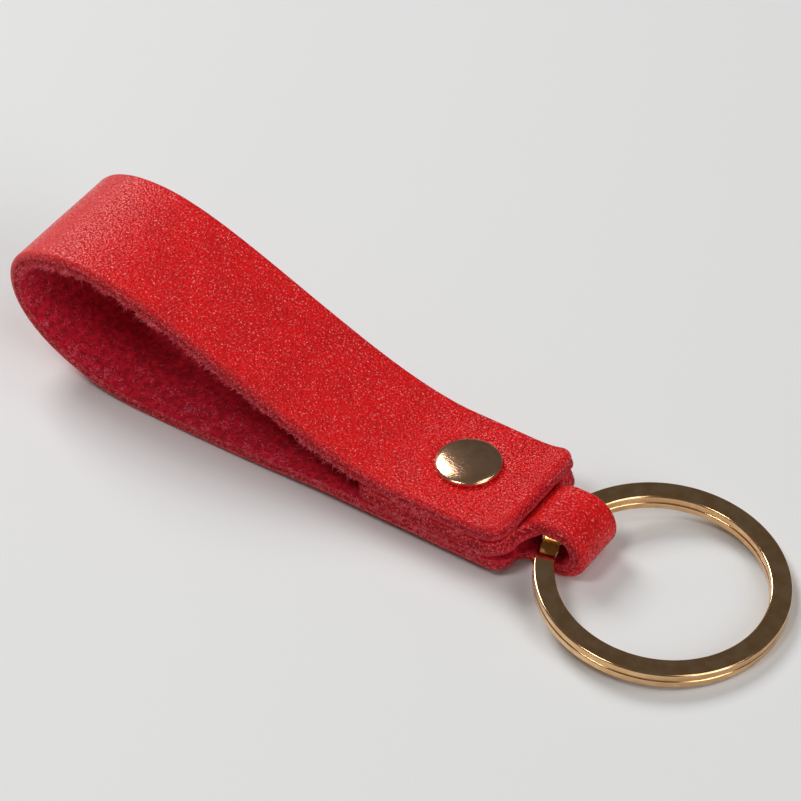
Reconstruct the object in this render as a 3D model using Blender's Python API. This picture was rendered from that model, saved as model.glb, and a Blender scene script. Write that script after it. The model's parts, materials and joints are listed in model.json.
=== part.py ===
"""Key ring: a leather strap looped and riveted at one end, holding a two-turn split ring.

Units are metres and +Z is up. +X runs along the strap from the finger loop to the ring,
and Y runs across the strap. The key ring lies on a table at z = 0.
The strap is one strip of leather. It starts at the end of the top layer, runs round the
finger loop to the bottom layer, narrows to a waist, folds up round the ring and ends in a
tab between the other two layers. One double-cap rivet goes through all three layers.
"""

import math

import bmesh
import bpy
import numpy as np

# Leather strip
STRAP_WIDTH = 0.0168
LEATHER = 0.0020
LAYER_GAP = 0.00015
EDGE_CHAMFER = 0.00025
END_CORNER = 0.0020

# Finger loop, seen from the front of the strap. Reaches are measured from the rivet's axis.
LOOP_REACH = 0.0620
LOOP_HEIGHT = 0.0207
TOP_FLAT = 0.0050
BOTTOM_FLAT = 0.0124
# Where the loop is highest, reaches its end and touches the table, as shares of its size
CREST_X_SHARE = 0.82
END_Z_SHARE = 0.63
FLOOR_X_SHARE = 0.69
# How far each curve keeps its direction, as shares of the distance it covers
TOP_PULL_SHARES = (0.295, 0.27)
CREST_PULL_SHARES = (0.74, 0.545)
UNDER_PULL_SHARES = (0.59, 0.475)
BOTTOM_PULL_SHARES = (0.725, 0.375)
# How far the loop's end leans along and up, at the edges of the strap
LOOP_SKEW = 0.00065
LOOP_TWIST = 0.00115

# Riveted stack, its tab and the waist that folds round the ring
LID_REACH = 0.0099
LID_START = 0.0040
LID_PULL_SHARES = (0.60, 0.25)
TAB_REACH = 0.0110
WAIST_WIDTH = 0.0076
NECK_REACH = 0.00785
NECK_CORNER_SHARE = 0.54
HINGE_OFFSET = 0.00355
FOLD_SLACK = 0.00125
RISE_REACH = 0.0040
RISE_PULL_SHARES = (0.84, 0.28)
DIP_REACH = 0.0085
DIP_PULL_SHARES = (0.50, 0.45)

# Split ring
RING_OUTER_DIAMETER = 0.0300
WIRE_WIDTH = 0.0025
WIRE_HEIGHT = 0.0010
WIRE_CORNER = 0.00020
TURN_GAP = 0.00005
RING_CLEARANCE = 0.00006
STEP_DEGREES = 14.0
STEP_CENTRE_DEGREES = 200.0
END_GAP_DEGREES = 1.0

# Double-cap rivet
CAP_DIAMETER = 0.0080
CAP_HEIGHT = 0.00110
CAP_DOME = 0.00060
CAP_SHEET = 0.00022
CAP_LIP = 0.00080
CAP_SINK = 0.00015
CAP_CLEARANCE = 0.00010
FLANGE_SHEET = 0.00022
RIVET_GAP = 0.00005
SOCKET_RADIUS = 0.00140
SOCKET_WALL = 0.00025
STUD_WALL = 0.00025
STUD_SHORTFALL = 0.00060
POST_CLEARANCE = 0.00010

# How finely curves are divided
FINE_STEPS = 240
TURNED_SIDES = 40
DOME_STEPS = 6
CORNER_STEPS = 5
STEP_STEPS = 6
RING_STEP_DEGREES = 5.0
LEAST_STATION = 0.00004
MERGE_DISTANCE = 0.000001
CUT_OVERRUN = 0.00200
SHARP_ANGLE = math.radians(35.0)

# Heights of the three layers' middles. The lower rivet cap holds the stack off the table.
LAYER_STEP = LEATHER + LAYER_GAP
STACK_BASE = CAP_HEIGHT - CAP_SINK
BOTTOM_Z = STACK_BASE + LEATHER / 2
TAB_Z = BOTTOM_Z + LAYER_STEP
TOP_Z = TAB_Z + LAYER_STEP
STACK_TOP = TOP_Z + LEATHER / 2

# The neck's shoulder is a bulging quarter circle followed by a hollow one
SHOULDER = (STRAP_WIDTH - WAIST_WIDTH) / 2
NECK_CORNER = NECK_CORNER_SHARE * SHOULDER
NECK_FILLET = SHOULDER - NECK_CORNER

# The ring turns about an axis in the middle of the stretch of wire that lies in the fold.
# The fold's hole clears the circle that the wire's corners sweep over the waist's width.
RING_OUTER = RING_OUTER_DIAMETER / 2
RING_INNER = RING_OUTER - WIRE_WIDTH
RING_HEIGHT = 2 * WIRE_HEIGHT + TURN_GAP
NEAR_EDGE = math.sqrt(RING_INNER**2 - (WAIST_WIDTH / 2)**2)
RING_PIVOT_RADIUS = (RING_OUTER + NEAR_EDGE) / 2
SWEEP_HALF = (RING_OUTER - NEAR_EDGE) / 2
SWEEP_RADIUS = max(math.hypot(SWEEP_HALF - WIRE_CORNER, RING_HEIGHT / 2),
                   math.hypot(SWEEP_HALF, RING_HEIGHT / 2 - WIRE_CORNER))
HOLE_RADIUS = SWEEP_RADIUS + RING_CLEARANCE

# The fold rests on the table, and so does the ring's far rim
HINGE_REACH = LID_REACH + HINGE_OFFSET
FOLD_REACH = HINGE_REACH + FOLD_SLACK
FOLD_RADIUS = HOLE_RADIUS + LEATHER / 2
FOLD_Z = HOLE_RADIUS + LEATHER
RIM_REACH = RING_PIVOT_RADIUS + RING_OUTER
RING_TILT = (math.asin(FOLD_Z / math.hypot(RIM_REACH - WIRE_CORNER, RING_HEIGHT / 2))
             - math.atan2(RING_HEIGHT / 2, RIM_REACH - WIRE_CORNER))

# The part's origin is under the middle of its whole length, and the rivet stands off it
RING_END = (HINGE_REACH + RIM_REACH * math.cos(RING_TILT)
            + (RING_HEIGHT / 2 - WIRE_CORNER) * math.sin(RING_TILT))
LOOP_END = -(LOOP_REACH + LOOP_SKEW * END_Z_SHARE)
RIVET_X = -(RING_END + LOOP_END) / 2

# Rivet caps and the posts inside them
CAP_RADIUS = CAP_DIAMETER / 2
SEAT_RADIUS = CAP_RADIUS + CAP_CLEARANCE
SEAT_DEPTH = CAP_SINK + RIVET_GAP
FLANGE_RADIUS = CAP_RADIUS - CAP_SHEET - RIVET_GAP
POST_HOLE_RADIUS = SOCKET_RADIUS + POST_CLEARANCE
STUD_RADIUS = SOCKET_RADIUS - SOCKET_WALL - RIVET_GAP
TOP_CAP_BASE = STACK_TOP - CAP_SINK
FLANGE_RISE = CAP_SHEET + RIVET_GAP
LOWER_FLANGE_TOP = CAP_HEIGHT - FLANGE_RISE
UPPER_FLANGE_BASE = TOP_CAP_BASE + FLANGE_RISE


def clear_scene():
    """Remove every object that the scene holds."""
    for item in list(bpy.data.objects):
        bpy.data.objects.remove(item)


def make_material(name, colour, roughness, metallic):
    """A Principled material with one colour."""
    material = bpy.data.materials.new(name)
    material.use_nodes = True
    shader = material.node_tree.nodes["Principled BSDF"]
    shader.inputs["Base Color"].default_value = (*colour, 1.0)
    shader.inputs["Roughness"].default_value = roughness
    shader.inputs["Metallic"].default_value = metallic
    return material


def add_empty(name, location, tilt=0.0):
    """An empty that carries pieces, turned about Y by the tilt."""
    holder = bpy.data.objects.new(name, None)
    holder.location = location
    holder.rotation_euler = (0.0, tilt, 0.0)
    bpy.context.collection.objects.link(holder)
    return holder


def add_object(name, mesh, material, parent):
    """An object for the mesh, shaded smooth except at its edges."""
    mesh.shade_smooth()
    mesh.set_sharp_from_angle(angle=SHARP_ANGLE)
    if material:
        mesh.materials.append(material)
    item = bpy.data.objects.new(name, mesh)
    item.parent = parent
    bpy.context.collection.objects.link(item)
    return item


def tube_mesh(name, sections):
    """A closed mesh through equal rings of points, with its two ends filled."""
    count = len(sections[0])
    work = bmesh.new()
    rings = [[work.verts.new(point) for point in section] for section in sections]
    for low, high in zip(rings, rings[1:]):
        for corner in range(count):
            after = (corner + 1) % count
            work.faces.new((low[corner], low[after], high[after], high[corner]))
    work.faces.new(rings[0])
    work.faces.new(rings[-1])
    bmesh.ops.recalc_face_normals(work, faces=work.faces)
    mesh = bpy.data.meshes.new(name)
    work.to_mesh(mesh)
    work.free()
    return mesh


def turned_mesh(name, profile):
    """A closed mesh turned about Z from a profile of radii and heights.

    A profile that starts and ends on the axis is left open there. Any other is closed.
    """
    work = bmesh.new()
    corners = [work.verts.new((radius, 0.0, height)) for radius, height in profile]
    pairs = list(zip(corners, corners[1:]))
    if profile[0][0] > 0.0:
        pairs.append((corners[-1], corners[0]))
    edges = [work.edges.new(pair) for pair in pairs]
    bmesh.ops.spin(work, geom=corners + edges, cent=(0.0, 0.0, 0.0), axis=(0.0, 0.0, 1.0),
                   angle=2 * math.pi, steps=TURNED_SIDES)
    bmesh.ops.remove_doubles(work, verts=work.verts, dist=MERGE_DISTANCE)
    bmesh.ops.recalc_face_normals(work, faces=work.faces)
    mesh = bpy.data.meshes.new(name)
    work.to_mesh(mesh)
    work.free()
    return mesh


def curve(start, start_pull, end_pull, end):
    """A cubic curve of the side view from start to end, in fine steps."""
    along = np.linspace(0.0, 1.0, FINE_STEPS)[:, None]
    back = 1 - along
    return (back**3 * start + 3 * back**2 * along * start_pull
            + 3 * back * along**2 * end_pull + along**3 * end)


def line(start, end):
    """A straight stretch of the side view, in fine steps."""
    return np.linspace(start, end, FINE_STEPS)


def left_normals(points):
    """Unit vectors to the left of the direction of travel along a path of the side view."""
    travel = np.gradient(points, axis=0)
    travel /= np.linalg.norm(travel, axis=1)[:, None]
    return np.stack([-travel[:, 1], travel[:, 0]], axis=1)


def lid_line(rise):
    """The end of the top layer: its tip is one layer above the tab's rise, and it falls gently."""
    offset = rise + LAYER_STEP * left_normals(rise)
    tip = np.array([LID_REACH, np.interp(LID_REACH, offset[:, 0], offset[:, 1])])
    flat = np.array([LID_START, TOP_Z])
    length = (tip - flat)[0] * np.array([1.0, 0.0])
    return curve(tip, tip - LID_PULL_SHARES[1] * (tip - flat),
                 flat + LID_PULL_SHARES[0] * length, flat)


def strip_pieces():
    """The strip's middle line in the side view, as named pieces, each with its station count.

    The path starts at the end of the top layer, which rests on the tab's rise. It falls to
    the level stretch over the rivet, and goes round the loop by four curves that are level or
    upright where they meet. It then runs level along the bottom, dips to the fold's arc, and
    comes back level through the stack as the tab.
    """
    level = np.array([1.0, 0.0])
    upright = np.array([0.0, 1.0])
    fold = np.array([FOLD_REACH, FOLD_Z])
    slack = FOLD_SLACK * level
    fold_low = fold - FOLD_RADIUS * upright
    fold_high = fold + FOLD_RADIUS * upright
    rise_start = np.array([RISE_REACH, TAB_Z])
    rise_end = fold_high - slack
    rise_length = (rise_end - rise_start)[0] * level
    rise = curve(rise_start, rise_start + RISE_PULL_SHARES[0] * rise_length,
                 rise_end - RISE_PULL_SHARES[1] * rise_length, rise_end)
    lid = lid_line(rise)
    flat_end = np.array([-TOP_FLAT, TOP_Z])

    crest = np.array([-CREST_X_SHARE * LOOP_REACH, LOOP_HEIGHT - LEATHER / 2])
    loop_end = np.array([LEATHER / 2 - LOOP_REACH, END_Z_SHARE * LOOP_HEIGHT])
    floor = np.array([-FLOOR_X_SHARE * LOOP_REACH, LEATHER / 2])
    bottom_start = np.array([-BOTTOM_FLAT, BOTTOM_Z])
    top_length = (flat_end - crest)[0] * level
    crest_size = crest - loop_end
    under_size = loop_end - floor
    bottom_length = (bottom_start - floor)[0] * level
    dip_start = np.array([DIP_REACH, BOTTOM_Z])
    dip_end = fold_low - slack
    dip_length = (dip_end - dip_start)[0] * level
    turn = np.linspace(-math.pi / 2, math.pi / 2, FINE_STEPS)[:, None]
    arc = fold + FOLD_RADIUS * (np.cos(turn) * level + np.sin(turn) * upright)

    return [
        ("lid", lid, 8),
        ("top_flat", line(lid[-1], flat_end), 2),
        ("top_curve", curve(flat_end, flat_end - TOP_PULL_SHARES[0] * top_length,
                            crest + TOP_PULL_SHARES[1] * top_length, crest), 18),
        ("crest_curve", curve(crest, crest - CREST_PULL_SHARES[0] * crest_size[0] * level,
                              loop_end + CREST_PULL_SHARES[1] * crest_size[1] * upright,
                              loop_end), 12),
        ("under_curve", curve(loop_end, loop_end + UNDER_PULL_SHARES[0] * -under_size[1] * upright,
                              floor + UNDER_PULL_SHARES[1] * under_size[0] * level, floor), 14),
        ("bottom_curve", curve(floor, floor + BOTTOM_PULL_SHARES[0] * bottom_length,
                               bottom_start - BOTTOM_PULL_SHARES[1] * bottom_length,
                               bottom_start), 6),
        ("bottom_flat", line(bottom_start, dip_start), 2),
        ("dip", curve(dip_start, dip_start + DIP_PULL_SHARES[0] * dip_length,
                      dip_end - DIP_PULL_SHARES[1] * dip_length, dip_end), 6),
        ("fold_floor", line(dip_end, fold_low), 1),
        ("arc", arc, 16),
        ("crown", line(fold_high, rise_end), 1),
        ("rise", rise[::-1], 14),
        ("tab", line(rise_start, np.array([-TAB_REACH, TAB_Z])), 2),
    ]


def strip_path():
    """The middle line as one fine path, its running lengths, its stations and its pieces' starts."""
    pieces = strip_pieces()
    path = np.concatenate([pieces[0][1]] + [piece[1][1:] for piece in pieces[1:]])
    steps = np.linalg.norm(np.diff(path, axis=0), axis=1)
    run = np.concatenate([[0.0], np.cumsum(steps)])
    stations = []
    starts = {}
    first = 0
    for name, points, count in pieces:
        last = first + len(points) - 1
        starts[name] = first
        stations.append(np.linspace(run[first], run[last], count + 1))
        first = last
    return path, run, np.concatenate(stations), starts


def run_at(path, run, first, last, reach):
    """The running length at which a stretch of the path passes a reach from the rivet."""
    places = path[first:last, 0]
    order = np.argsort(places)
    return float(np.interp(reach, places[order], run[first:last][order]))


def half_widths(lengths, total, neck_start, tab_neck_end):
    """Half of the strip's width at running lengths along it.

    Both ends of the strip have round corners. Each neck leaves the full width by a quarter
    circle that bulges, and reaches the waist by one that is hollow.
    """
    from_end = np.minimum(lengths, total - lengths)
    into_corner = np.clip(END_CORNER - from_end, 0.0, END_CORNER)
    at_ends = STRAP_WIDTH / 2 - END_CORNER + np.sqrt(END_CORNER**2 - into_corner**2)
    into_neck = np.clip(np.minimum(lengths - neck_start, tab_neck_end - lengths), 0.0, SHOULDER)
    bulge = np.clip(into_neck, 0.0, NECK_CORNER)
    hollow = np.clip(into_neck - NECK_CORNER, 0.0, NECK_FILLET)
    fall = (NECK_CORNER - np.sqrt(NECK_CORNER**2 - bulge**2)
            + np.sqrt(NECK_FILLET**2 - (NECK_FILLET - hollow)**2))
    return at_ends - fall


def outline_stations(stations, total, neck_start, tab_neck_end):
    """Stations of the pieces and of the outline's corners, none closer than the least step."""
    quarter = np.linspace(0.0, math.pi / 2, CORNER_STEPS + 1)
    from_end = END_CORNER * (1 - np.cos(quarter))
    into_neck = np.concatenate([NECK_CORNER * np.sin(quarter),
                                NECK_CORNER + NECK_FILLET * (1 - np.cos(quarter))])
    wanted = np.unique(np.concatenate([stations, from_end, total - from_end,
                                       neck_start + into_neck, tab_neck_end - into_neck]))
    kept = [0.0]
    for length in wanted:
        if length - kept[-1] > LEAST_STATION and total - length > LEAST_STATION:
            kept.append(float(length))
    return np.array(kept + [total])


def lean(points):
    """Skew and twist the loop, more towards its end and its crest. The table stays touched."""
    reach = np.clip(-points[..., 0] / LOOP_REACH, 0.0, 1.0)
    rise = np.clip(points[..., 2] / LOOP_HEIGHT, 0.0, 1.0)
    weight = reach**2 * rise * points[..., 1] / (STRAP_WIDTH / 2)
    return points + weight[..., None] * np.array([LOOP_SKEW, 0.0, LOOP_TWIST])


def strap_sections():
    """Six-cornered sections of the strip, with the grain side's two edges chamfered."""
    path, run, stations, starts = strip_path()
    total = float(run[-1])
    neck_start = run_at(path, run, starts["bottom_flat"], starts["fold_floor"], NECK_REACH)
    tab_neck_end = run_at(path, run, starts["rise"], len(path), NECK_REACH)
    lengths = outline_stations(stations, total, neck_start, tab_neck_end)
    half = half_widths(lengths, total, neck_start, tab_neck_end)
    normals = left_normals(path)
    middle = np.stack([np.interp(lengths, run, path[:, axis]) for axis in (0, 1)], axis=1)
    inward = np.stack([np.interp(lengths, run, normals[:, axis]) for axis in (0, 1)], axis=1)
    inward /= np.linalg.norm(inward, axis=1)[:, None]
    offsets = [(LEATHER / 2, -1, 0.0), (LEATHER / 2, 1, 0.0),
               (EDGE_CHAMFER - LEATHER / 2, 1, 0.0), (-LEATHER / 2, 1, EDGE_CHAMFER),
               (-LEATHER / 2, -1, EDGE_CHAMFER), (EDGE_CHAMFER - LEATHER / 2, -1, 0.0)]
    corners = []
    for depth, side, inset in offsets:
        place = middle + depth * inward
        corners.append(np.stack([place[:, 0], side * (half - inset), place[:, 1]], axis=1))
    return lean(np.stack(corners, axis=1))


def rivet_cutter(holder):
    """The rivet's hole through the three layers, with a shallow seat for each cap."""
    low_seat = STACK_BASE + SEAT_DEPTH
    high_seat = STACK_TOP - SEAT_DEPTH
    profile = [(0.0, STACK_BASE - CUT_OVERRUN), (SEAT_RADIUS, STACK_BASE - CUT_OVERRUN),
               (SEAT_RADIUS, low_seat), (POST_HOLE_RADIUS, low_seat),
               (POST_HOLE_RADIUS, high_seat), (SEAT_RADIUS, high_seat),
               (SEAT_RADIUS, STACK_TOP + CUT_OVERRUN), (0.0, STACK_TOP + CUT_OVERRUN)]
    cutter = add_object("rivet_cutter", turned_mesh("rivet_cutter", profile), None, holder)
    cutter.hide_render = True
    cutter.display_type = "WIRE"
    return cutter


def build_strap(holder, leather):
    """The leather strip, with the rivet's hole and the seats of its caps cut out."""
    strap = add_object("strap", tube_mesh("strap", strap_sections()), leather, holder)
    hole = strap.modifiers.new("rivet_hole", "BOOLEAN")
    hole.operation = "DIFFERENCE"
    hole.solver = "EXACT"
    hole.object = rivet_cutter(holder)
    return strap


def cap_profile(base, direction):
    """A cap's shell from its base upwards, or downwards for direction -1.

    The dome is half an ellipse that meets the upright wall. The wall's foot turns inwards as
    a lip that grips the flange.
    """
    turn = np.linspace(0.0, math.pi / 2, DOME_STEPS + 1)
    wall_top = CAP_HEIGHT - CAP_DOME
    inner_radius = CAP_RADIUS - CAP_SHEET
    inner_dome = CAP_DOME - CAP_SHEET
    outer = [(CAP_RADIUS * math.sin(a), wall_top + CAP_DOME * math.cos(a)) for a in turn]
    inner = [(inner_radius * math.sin(a), wall_top + inner_dome * math.cos(a)) for a in turn]
    foot = [(CAP_RADIUS, CAP_SHEET / 2), (CAP_RADIUS - CAP_SHEET / 2, 0.0),
            (CAP_RADIUS - CAP_LIP, 0.0), (CAP_RADIUS - CAP_LIP, CAP_SHEET),
            (inner_radius, CAP_SHEET)]
    outline = outer + foot + inner[::-1]
    outline[0] = (0.0, CAP_HEIGHT)
    outline[-1] = (0.0, CAP_HEIGHT - CAP_SHEET)
    return [(radius, base + direction * height) for radius, height in outline]


def socket_profile():
    """The tube clinched into the top cap by its flange, down to just above the stud's flange."""
    flange_top = UPPER_FLANGE_BASE + FLANGE_SHEET
    tube_end = LOWER_FLANGE_TOP + RIVET_GAP
    bore = SOCKET_RADIUS - SOCKET_WALL
    return [(SOCKET_RADIUS, tube_end), (SOCKET_RADIUS, UPPER_FLANGE_BASE),
            (FLANGE_RADIUS, UPPER_FLANGE_BASE), (FLANGE_RADIUS, flange_top),
            (bore, flange_top), (bore, tube_end)]


def stud_profile():
    """The hollow stud clinched into the bottom cap, with its closed tip inside the socket."""
    flange_base = LOWER_FLANGE_TOP - FLANGE_SHEET
    tip = UPPER_FLANGE_BASE - STUD_SHORTFALL
    bore = STUD_RADIUS - STUD_WALL
    return [(0.0, tip), (STUD_RADIUS - STUD_WALL / 2, tip), (STUD_RADIUS, tip - STUD_WALL),
            (STUD_RADIUS, LOWER_FLANGE_TOP), (FLANGE_RADIUS, LOWER_FLANGE_TOP),
            (FLANGE_RADIUS, flange_base), (bore, flange_base), (bore, tip - STUD_WALL),
            (0.0, tip - STUD_WALL)]


def build_rivet(holder, gold):
    """The rivet's two caps, and the socket and stud that join them."""
    profiles = {
        "rivet_top_cap": cap_profile(TOP_CAP_BASE, 1),
        "rivet_socket": socket_profile(),
        "rivet_stud": stud_profile(),
        "rivet_bottom_cap": cap_profile(CAP_HEIGHT, -1),
    }
    for name, profile in profiles.items():
        add_object(name, turned_mesh(name, profile), gold[name], holder)


def wire_stations():
    """Angles along the wire in radians, and the height of its middle at each.

    The upper turn runs clockwise from its free end almost once round. The wire then steps
    down past that end, and the lower turn runs once round to its own free end.
    """
    half_step = STEP_DEGREES / 2
    turn_span = 360.0 - STEP_DEGREES - END_GAP_DEGREES
    turn_count = math.ceil(turn_span / RING_STEP_DEGREES)
    upper_start = STEP_CENTRE_DEGREES - half_step - END_GAP_DEGREES
    step_start = upper_start - turn_span
    upper = np.linspace(upper_start, step_start, turn_count + 1)
    step = np.linspace(step_start, step_start - STEP_DEGREES, STEP_STEPS + 1)
    lower = np.linspace(step[-1], step[-1] - turn_span, turn_count + 1)
    level = (WIRE_HEIGHT + TURN_GAP) / 2
    along = np.linspace(0.0, 1.0, STEP_STEPS + 1)
    falling = level * (1 - 2 * (3 * along**2 - 2 * along**3))
    angles = np.concatenate([upper, step[1:], lower[1:]])
    heights = np.concatenate([np.full(len(upper), level), falling[1:],
                              np.full(len(lower) - 1, -level)])
    return np.radians(angles), heights


def build_split_ring(holder, gold):
    """The two-turn flat wire, whose origin is on the axis that it swings about."""
    angles, heights = wire_stations()
    middle = (RING_OUTER + RING_INNER) / 2
    half_width = WIRE_WIDTH / 2
    half_height = WIRE_HEIGHT / 2
    flat_width = half_width - WIRE_CORNER
    flat_height = half_height - WIRE_CORNER
    outline = [(half_width, -flat_height), (half_width, flat_height),
               (flat_width, half_height), (-flat_width, half_height),
               (-half_width, flat_height), (-half_width, -flat_height),
               (-flat_width, -half_height), (flat_width, -half_height)]
    sections = []
    for angle, height in zip(angles, heights):
        section = [(RING_PIVOT_RADIUS + (middle + out) * math.cos(angle),
                    (middle + out) * math.sin(angle), height + up) for out, up in outline]
        sections.append(section)
    return add_object("split_ring", tube_mesh("split_ring", sections), gold, holder)


def main():
    """Carry the strap and the rivet on the rivet's axis, and the ring on its own pivot."""
    clear_scene()
    leather = make_material("red_leather", (0.55, 0.012, 0.016), 0.48, 0.0)
    ring_gold = make_material("polished_gold", (0.80, 0.58, 0.30), 0.12, 1.0)
    rivet_gold = {
        "rivet_top_cap": make_material("cap_gold", (0.76, 0.56, 0.36), 0.14, 1.0),
        "rivet_socket": make_material("socket_gold", (0.70, 0.52, 0.32), 0.25, 1.0),
        "rivet_stud": make_material("stud_gold", (0.70, 0.52, 0.32), 0.25, 1.0),
        "rivet_bottom_cap": make_material("lower_cap_gold", (0.76, 0.56, 0.36), 0.14, 1.0),
    }
    rivet_axis = add_empty("rivet_axis", (RIVET_X, 0.0, 0.0))
    ring_pivot = add_empty("ring_pivot", (RIVET_X + HINGE_REACH, 0.0, FOLD_Z), RING_TILT)
    build_strap(rivet_axis, leather)
    build_rivet(rivet_axis, rivet_gold)
    build_split_ring(ring_pivot, ring_gold)


main()
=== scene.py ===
# %% [markdown]
# This scene dresses a key ring: one strip of red leather, bent into a finger loop, folded round
# a split ring of gold wire, and closed by a double-cap rivet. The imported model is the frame. It
# says where each piece is, and this script gives every piece its real surface and finish.

# %% Load the frame
import json
import math

import bpy
import numpy as np
from mathutils import Matrix, Vector


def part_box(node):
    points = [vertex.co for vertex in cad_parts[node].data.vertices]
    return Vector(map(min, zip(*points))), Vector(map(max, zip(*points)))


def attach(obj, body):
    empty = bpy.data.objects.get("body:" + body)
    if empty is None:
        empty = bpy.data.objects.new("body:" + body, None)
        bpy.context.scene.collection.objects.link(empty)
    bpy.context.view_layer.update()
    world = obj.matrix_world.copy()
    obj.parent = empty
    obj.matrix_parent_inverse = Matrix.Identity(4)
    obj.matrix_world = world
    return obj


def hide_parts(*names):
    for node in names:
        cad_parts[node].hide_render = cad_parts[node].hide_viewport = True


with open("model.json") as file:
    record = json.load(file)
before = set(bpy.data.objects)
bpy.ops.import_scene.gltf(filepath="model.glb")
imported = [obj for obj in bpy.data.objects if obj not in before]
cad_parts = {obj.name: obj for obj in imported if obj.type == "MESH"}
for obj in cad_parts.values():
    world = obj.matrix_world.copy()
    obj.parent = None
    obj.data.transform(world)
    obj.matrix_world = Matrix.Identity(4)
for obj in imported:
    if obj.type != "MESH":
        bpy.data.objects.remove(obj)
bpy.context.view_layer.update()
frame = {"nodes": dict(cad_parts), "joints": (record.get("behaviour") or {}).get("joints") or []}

MM = 0.001
print("frame nodes:", sorted(frame["nodes"]))

# %% [markdown]
# The camera comes first, because it decides how fine each surface has to be. A split ring that
# is round, a rivet cap that is round and a strap of even width fix the view: a long lens from
# about 42 degrees above the table. Here one millimetre covers about eight pixels, so leather
# grain is a texture, while rolled edges, fibres and the ring's seam are real shape.

# %% Camera
FRAME_PIXELS = 801
FOCAL_PIXELS = 3622.0
SENSOR_WIDTH_MM = 36.0
CLIP_RANGE = (0.01, 10.0)
VIEW_YAW = math.radians(35.68)
VIEW_PITCH = math.radians(42.23)
VIEW_ROLL = math.radians(-1.43)
VIEW_DISTANCE = 445.4 * MM
VIEW_TARGET = Vector((-7.40, 11.18, 0.0)) * MM


def add_camera():
    """A camera on the sphere round the target, turned about its own line of sight by the roll."""
    flat = math.cos(VIEW_PITCH)
    back = Vector((math.sin(VIEW_YAW) * flat, -math.cos(VIEW_YAW) * flat, math.sin(VIEW_PITCH)))
    right = Vector((math.cos(VIEW_YAW), math.sin(VIEW_YAW), 0.0))
    up = back.cross(right)
    turned_right = math.cos(VIEW_ROLL) * right + math.sin(VIEW_ROLL) * up
    turned_up = math.cos(VIEW_ROLL) * up - math.sin(VIEW_ROLL) * right
    data = bpy.data.cameras.new("camera")
    data.sensor_width = SENSOR_WIDTH_MM
    data.lens = FOCAL_PIXELS * SENSOR_WIDTH_MM / FRAME_PIXELS
    data.clip_start, data.clip_end = CLIP_RANGE
    camera = bpy.data.objects.new("camera", data)
    bpy.context.scene.collection.objects.link(camera)
    turn = Matrix((turned_right, turned_up, back)).transposed().to_4x4()
    camera.matrix_world = Matrix.Translation(VIEW_TARGET + VIEW_DISTANCE * back) @ turn
    bpy.context.scene.camera = camera


add_camera()
print("camera lens in mm:", round(bpy.context.scene.camera.data.lens, 1))

# %% [markdown]
# The places that other pieces must agree with are read from the frame: the rivet's axis and the
# size of its caps, the strap's width, and the ring's axis from its joint. Only the strip's own
# outline has to be repeated here, because a mesh doesn't say how it was drawn.

# %% Places read from the frame
cap_low, cap_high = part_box("rivet_top_cap")
base_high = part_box("rivet_bottom_cap")[1]
strap_low, strap_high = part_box("strap")
hinge = Vector(frame["joints"][0]["pos_m"])

RIVET_X = (cap_low.x + cap_high.x) / 2
CAP_RADIUS = (cap_high.y - cap_low.y) / 2
CAP_HEIGHT = cap_high.z - cap_low.z
STRAP_WIDTH = strap_high.y - strap_low.y
HINGE_REACH = hinge.x - RIVET_X
FOLD_Z = hinge.z
print("rivet at x =", round(RIVET_X / MM, 3), "mm, hinge reach", round(HINGE_REACH / MM, 3), "mm")

# %% [markdown]
# The strap is one strip about 195 mm long, 16.8 mm wide and 2 mm thick. Seen from the side its
# middle line is a chain of level lines, one round arc and cubic curves, each of which starts in
# the direction in which the last one ended. A chain like this is easier to fit to a picture than
# one free spline, because every stretch has a job: the lid, the finger loop, the fold round the
# ring and the tab that ends inside the stack.

# %% The strip's middle line
LEATHER = 2.0 * MM
LAYER_GAP = 0.15 * MM
LOOP_REACH = 62.0 * MM
LOOP_HEIGHT = 20.7 * MM
TOP_FLAT = 5.0 * MM
BOTTOM_FLAT = 12.4 * MM
CREST_X_SHARE = 0.82
END_Z_SHARE = 0.63
FLOOR_X_SHARE = 0.69
TOP_PULL_SHARES = (0.295, 0.27)
CREST_PULL_SHARES = (0.74, 0.545)
UNDER_PULL_SHARES = (0.59, 0.475)
BOTTOM_PULL_SHARES = (0.725, 0.375)
LID_REACH = 9.9 * MM
LID_START = 4.0 * MM
LID_PULL_SHARES = (0.60, 0.25)
TAB_REACH = 11.0 * MM
FOLD_SLACK = 1.25 * MM
RISE_REACH = 4.0 * MM
RISE_PULL_SHARES = (0.84, 0.28)
DIP_REACH = 8.5 * MM
DIP_PULL_SHARES = (0.50, 0.45)
FINE_STEPS = 240
CAP_SINK = 0.15 * MM
STRETCH_STEP = 0.25 * MM
STRETCH_BLUR = 24
FULL_BEND_RADIUS = 9.0 * MM

LAYER_STEP = LEATHER + LAYER_GAP
BOTTOM_Z = CAP_HEIGHT - CAP_SINK + LEATHER / 2
TAB_Z = BOTTOM_Z + LAYER_STEP
TOP_Z = TAB_Z + LAYER_STEP
FOLD_REACH = HINGE_REACH + FOLD_SLACK
FOLD_RADIUS = FOLD_Z - LEATHER / 2
LEVEL = np.array([1.0, 0.0])
UPRIGHT = np.array([0.0, 1.0])


def quarter_turn(count):
    """Even angles from 0 to a quarter turn."""
    return np.linspace(0.0, math.pi / 2, count)


def cubic(start, start_pull, end_pull, end):
    """Cubic curve: the four points weighted by b^3, 3b^2a, 3ba^2 and a^3, for b = 1 - a."""
    a = np.linspace(0.0, 1.0, FINE_STEPS)[:, None]
    b = 1 - a
    return b**3 * start + 3 * b**2 * a * start_pull + 3 * b * a**2 * end_pull + a**3 * end


def level_cubic(start, end, pull_shares):
    """Cubic curve that is level at both ends, each pull being a share of the distance in X."""
    span = (end - start)[0] * LEVEL
    return cubic(start, start + pull_shares[0] * span, end - pull_shares[1] * span, end)


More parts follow.
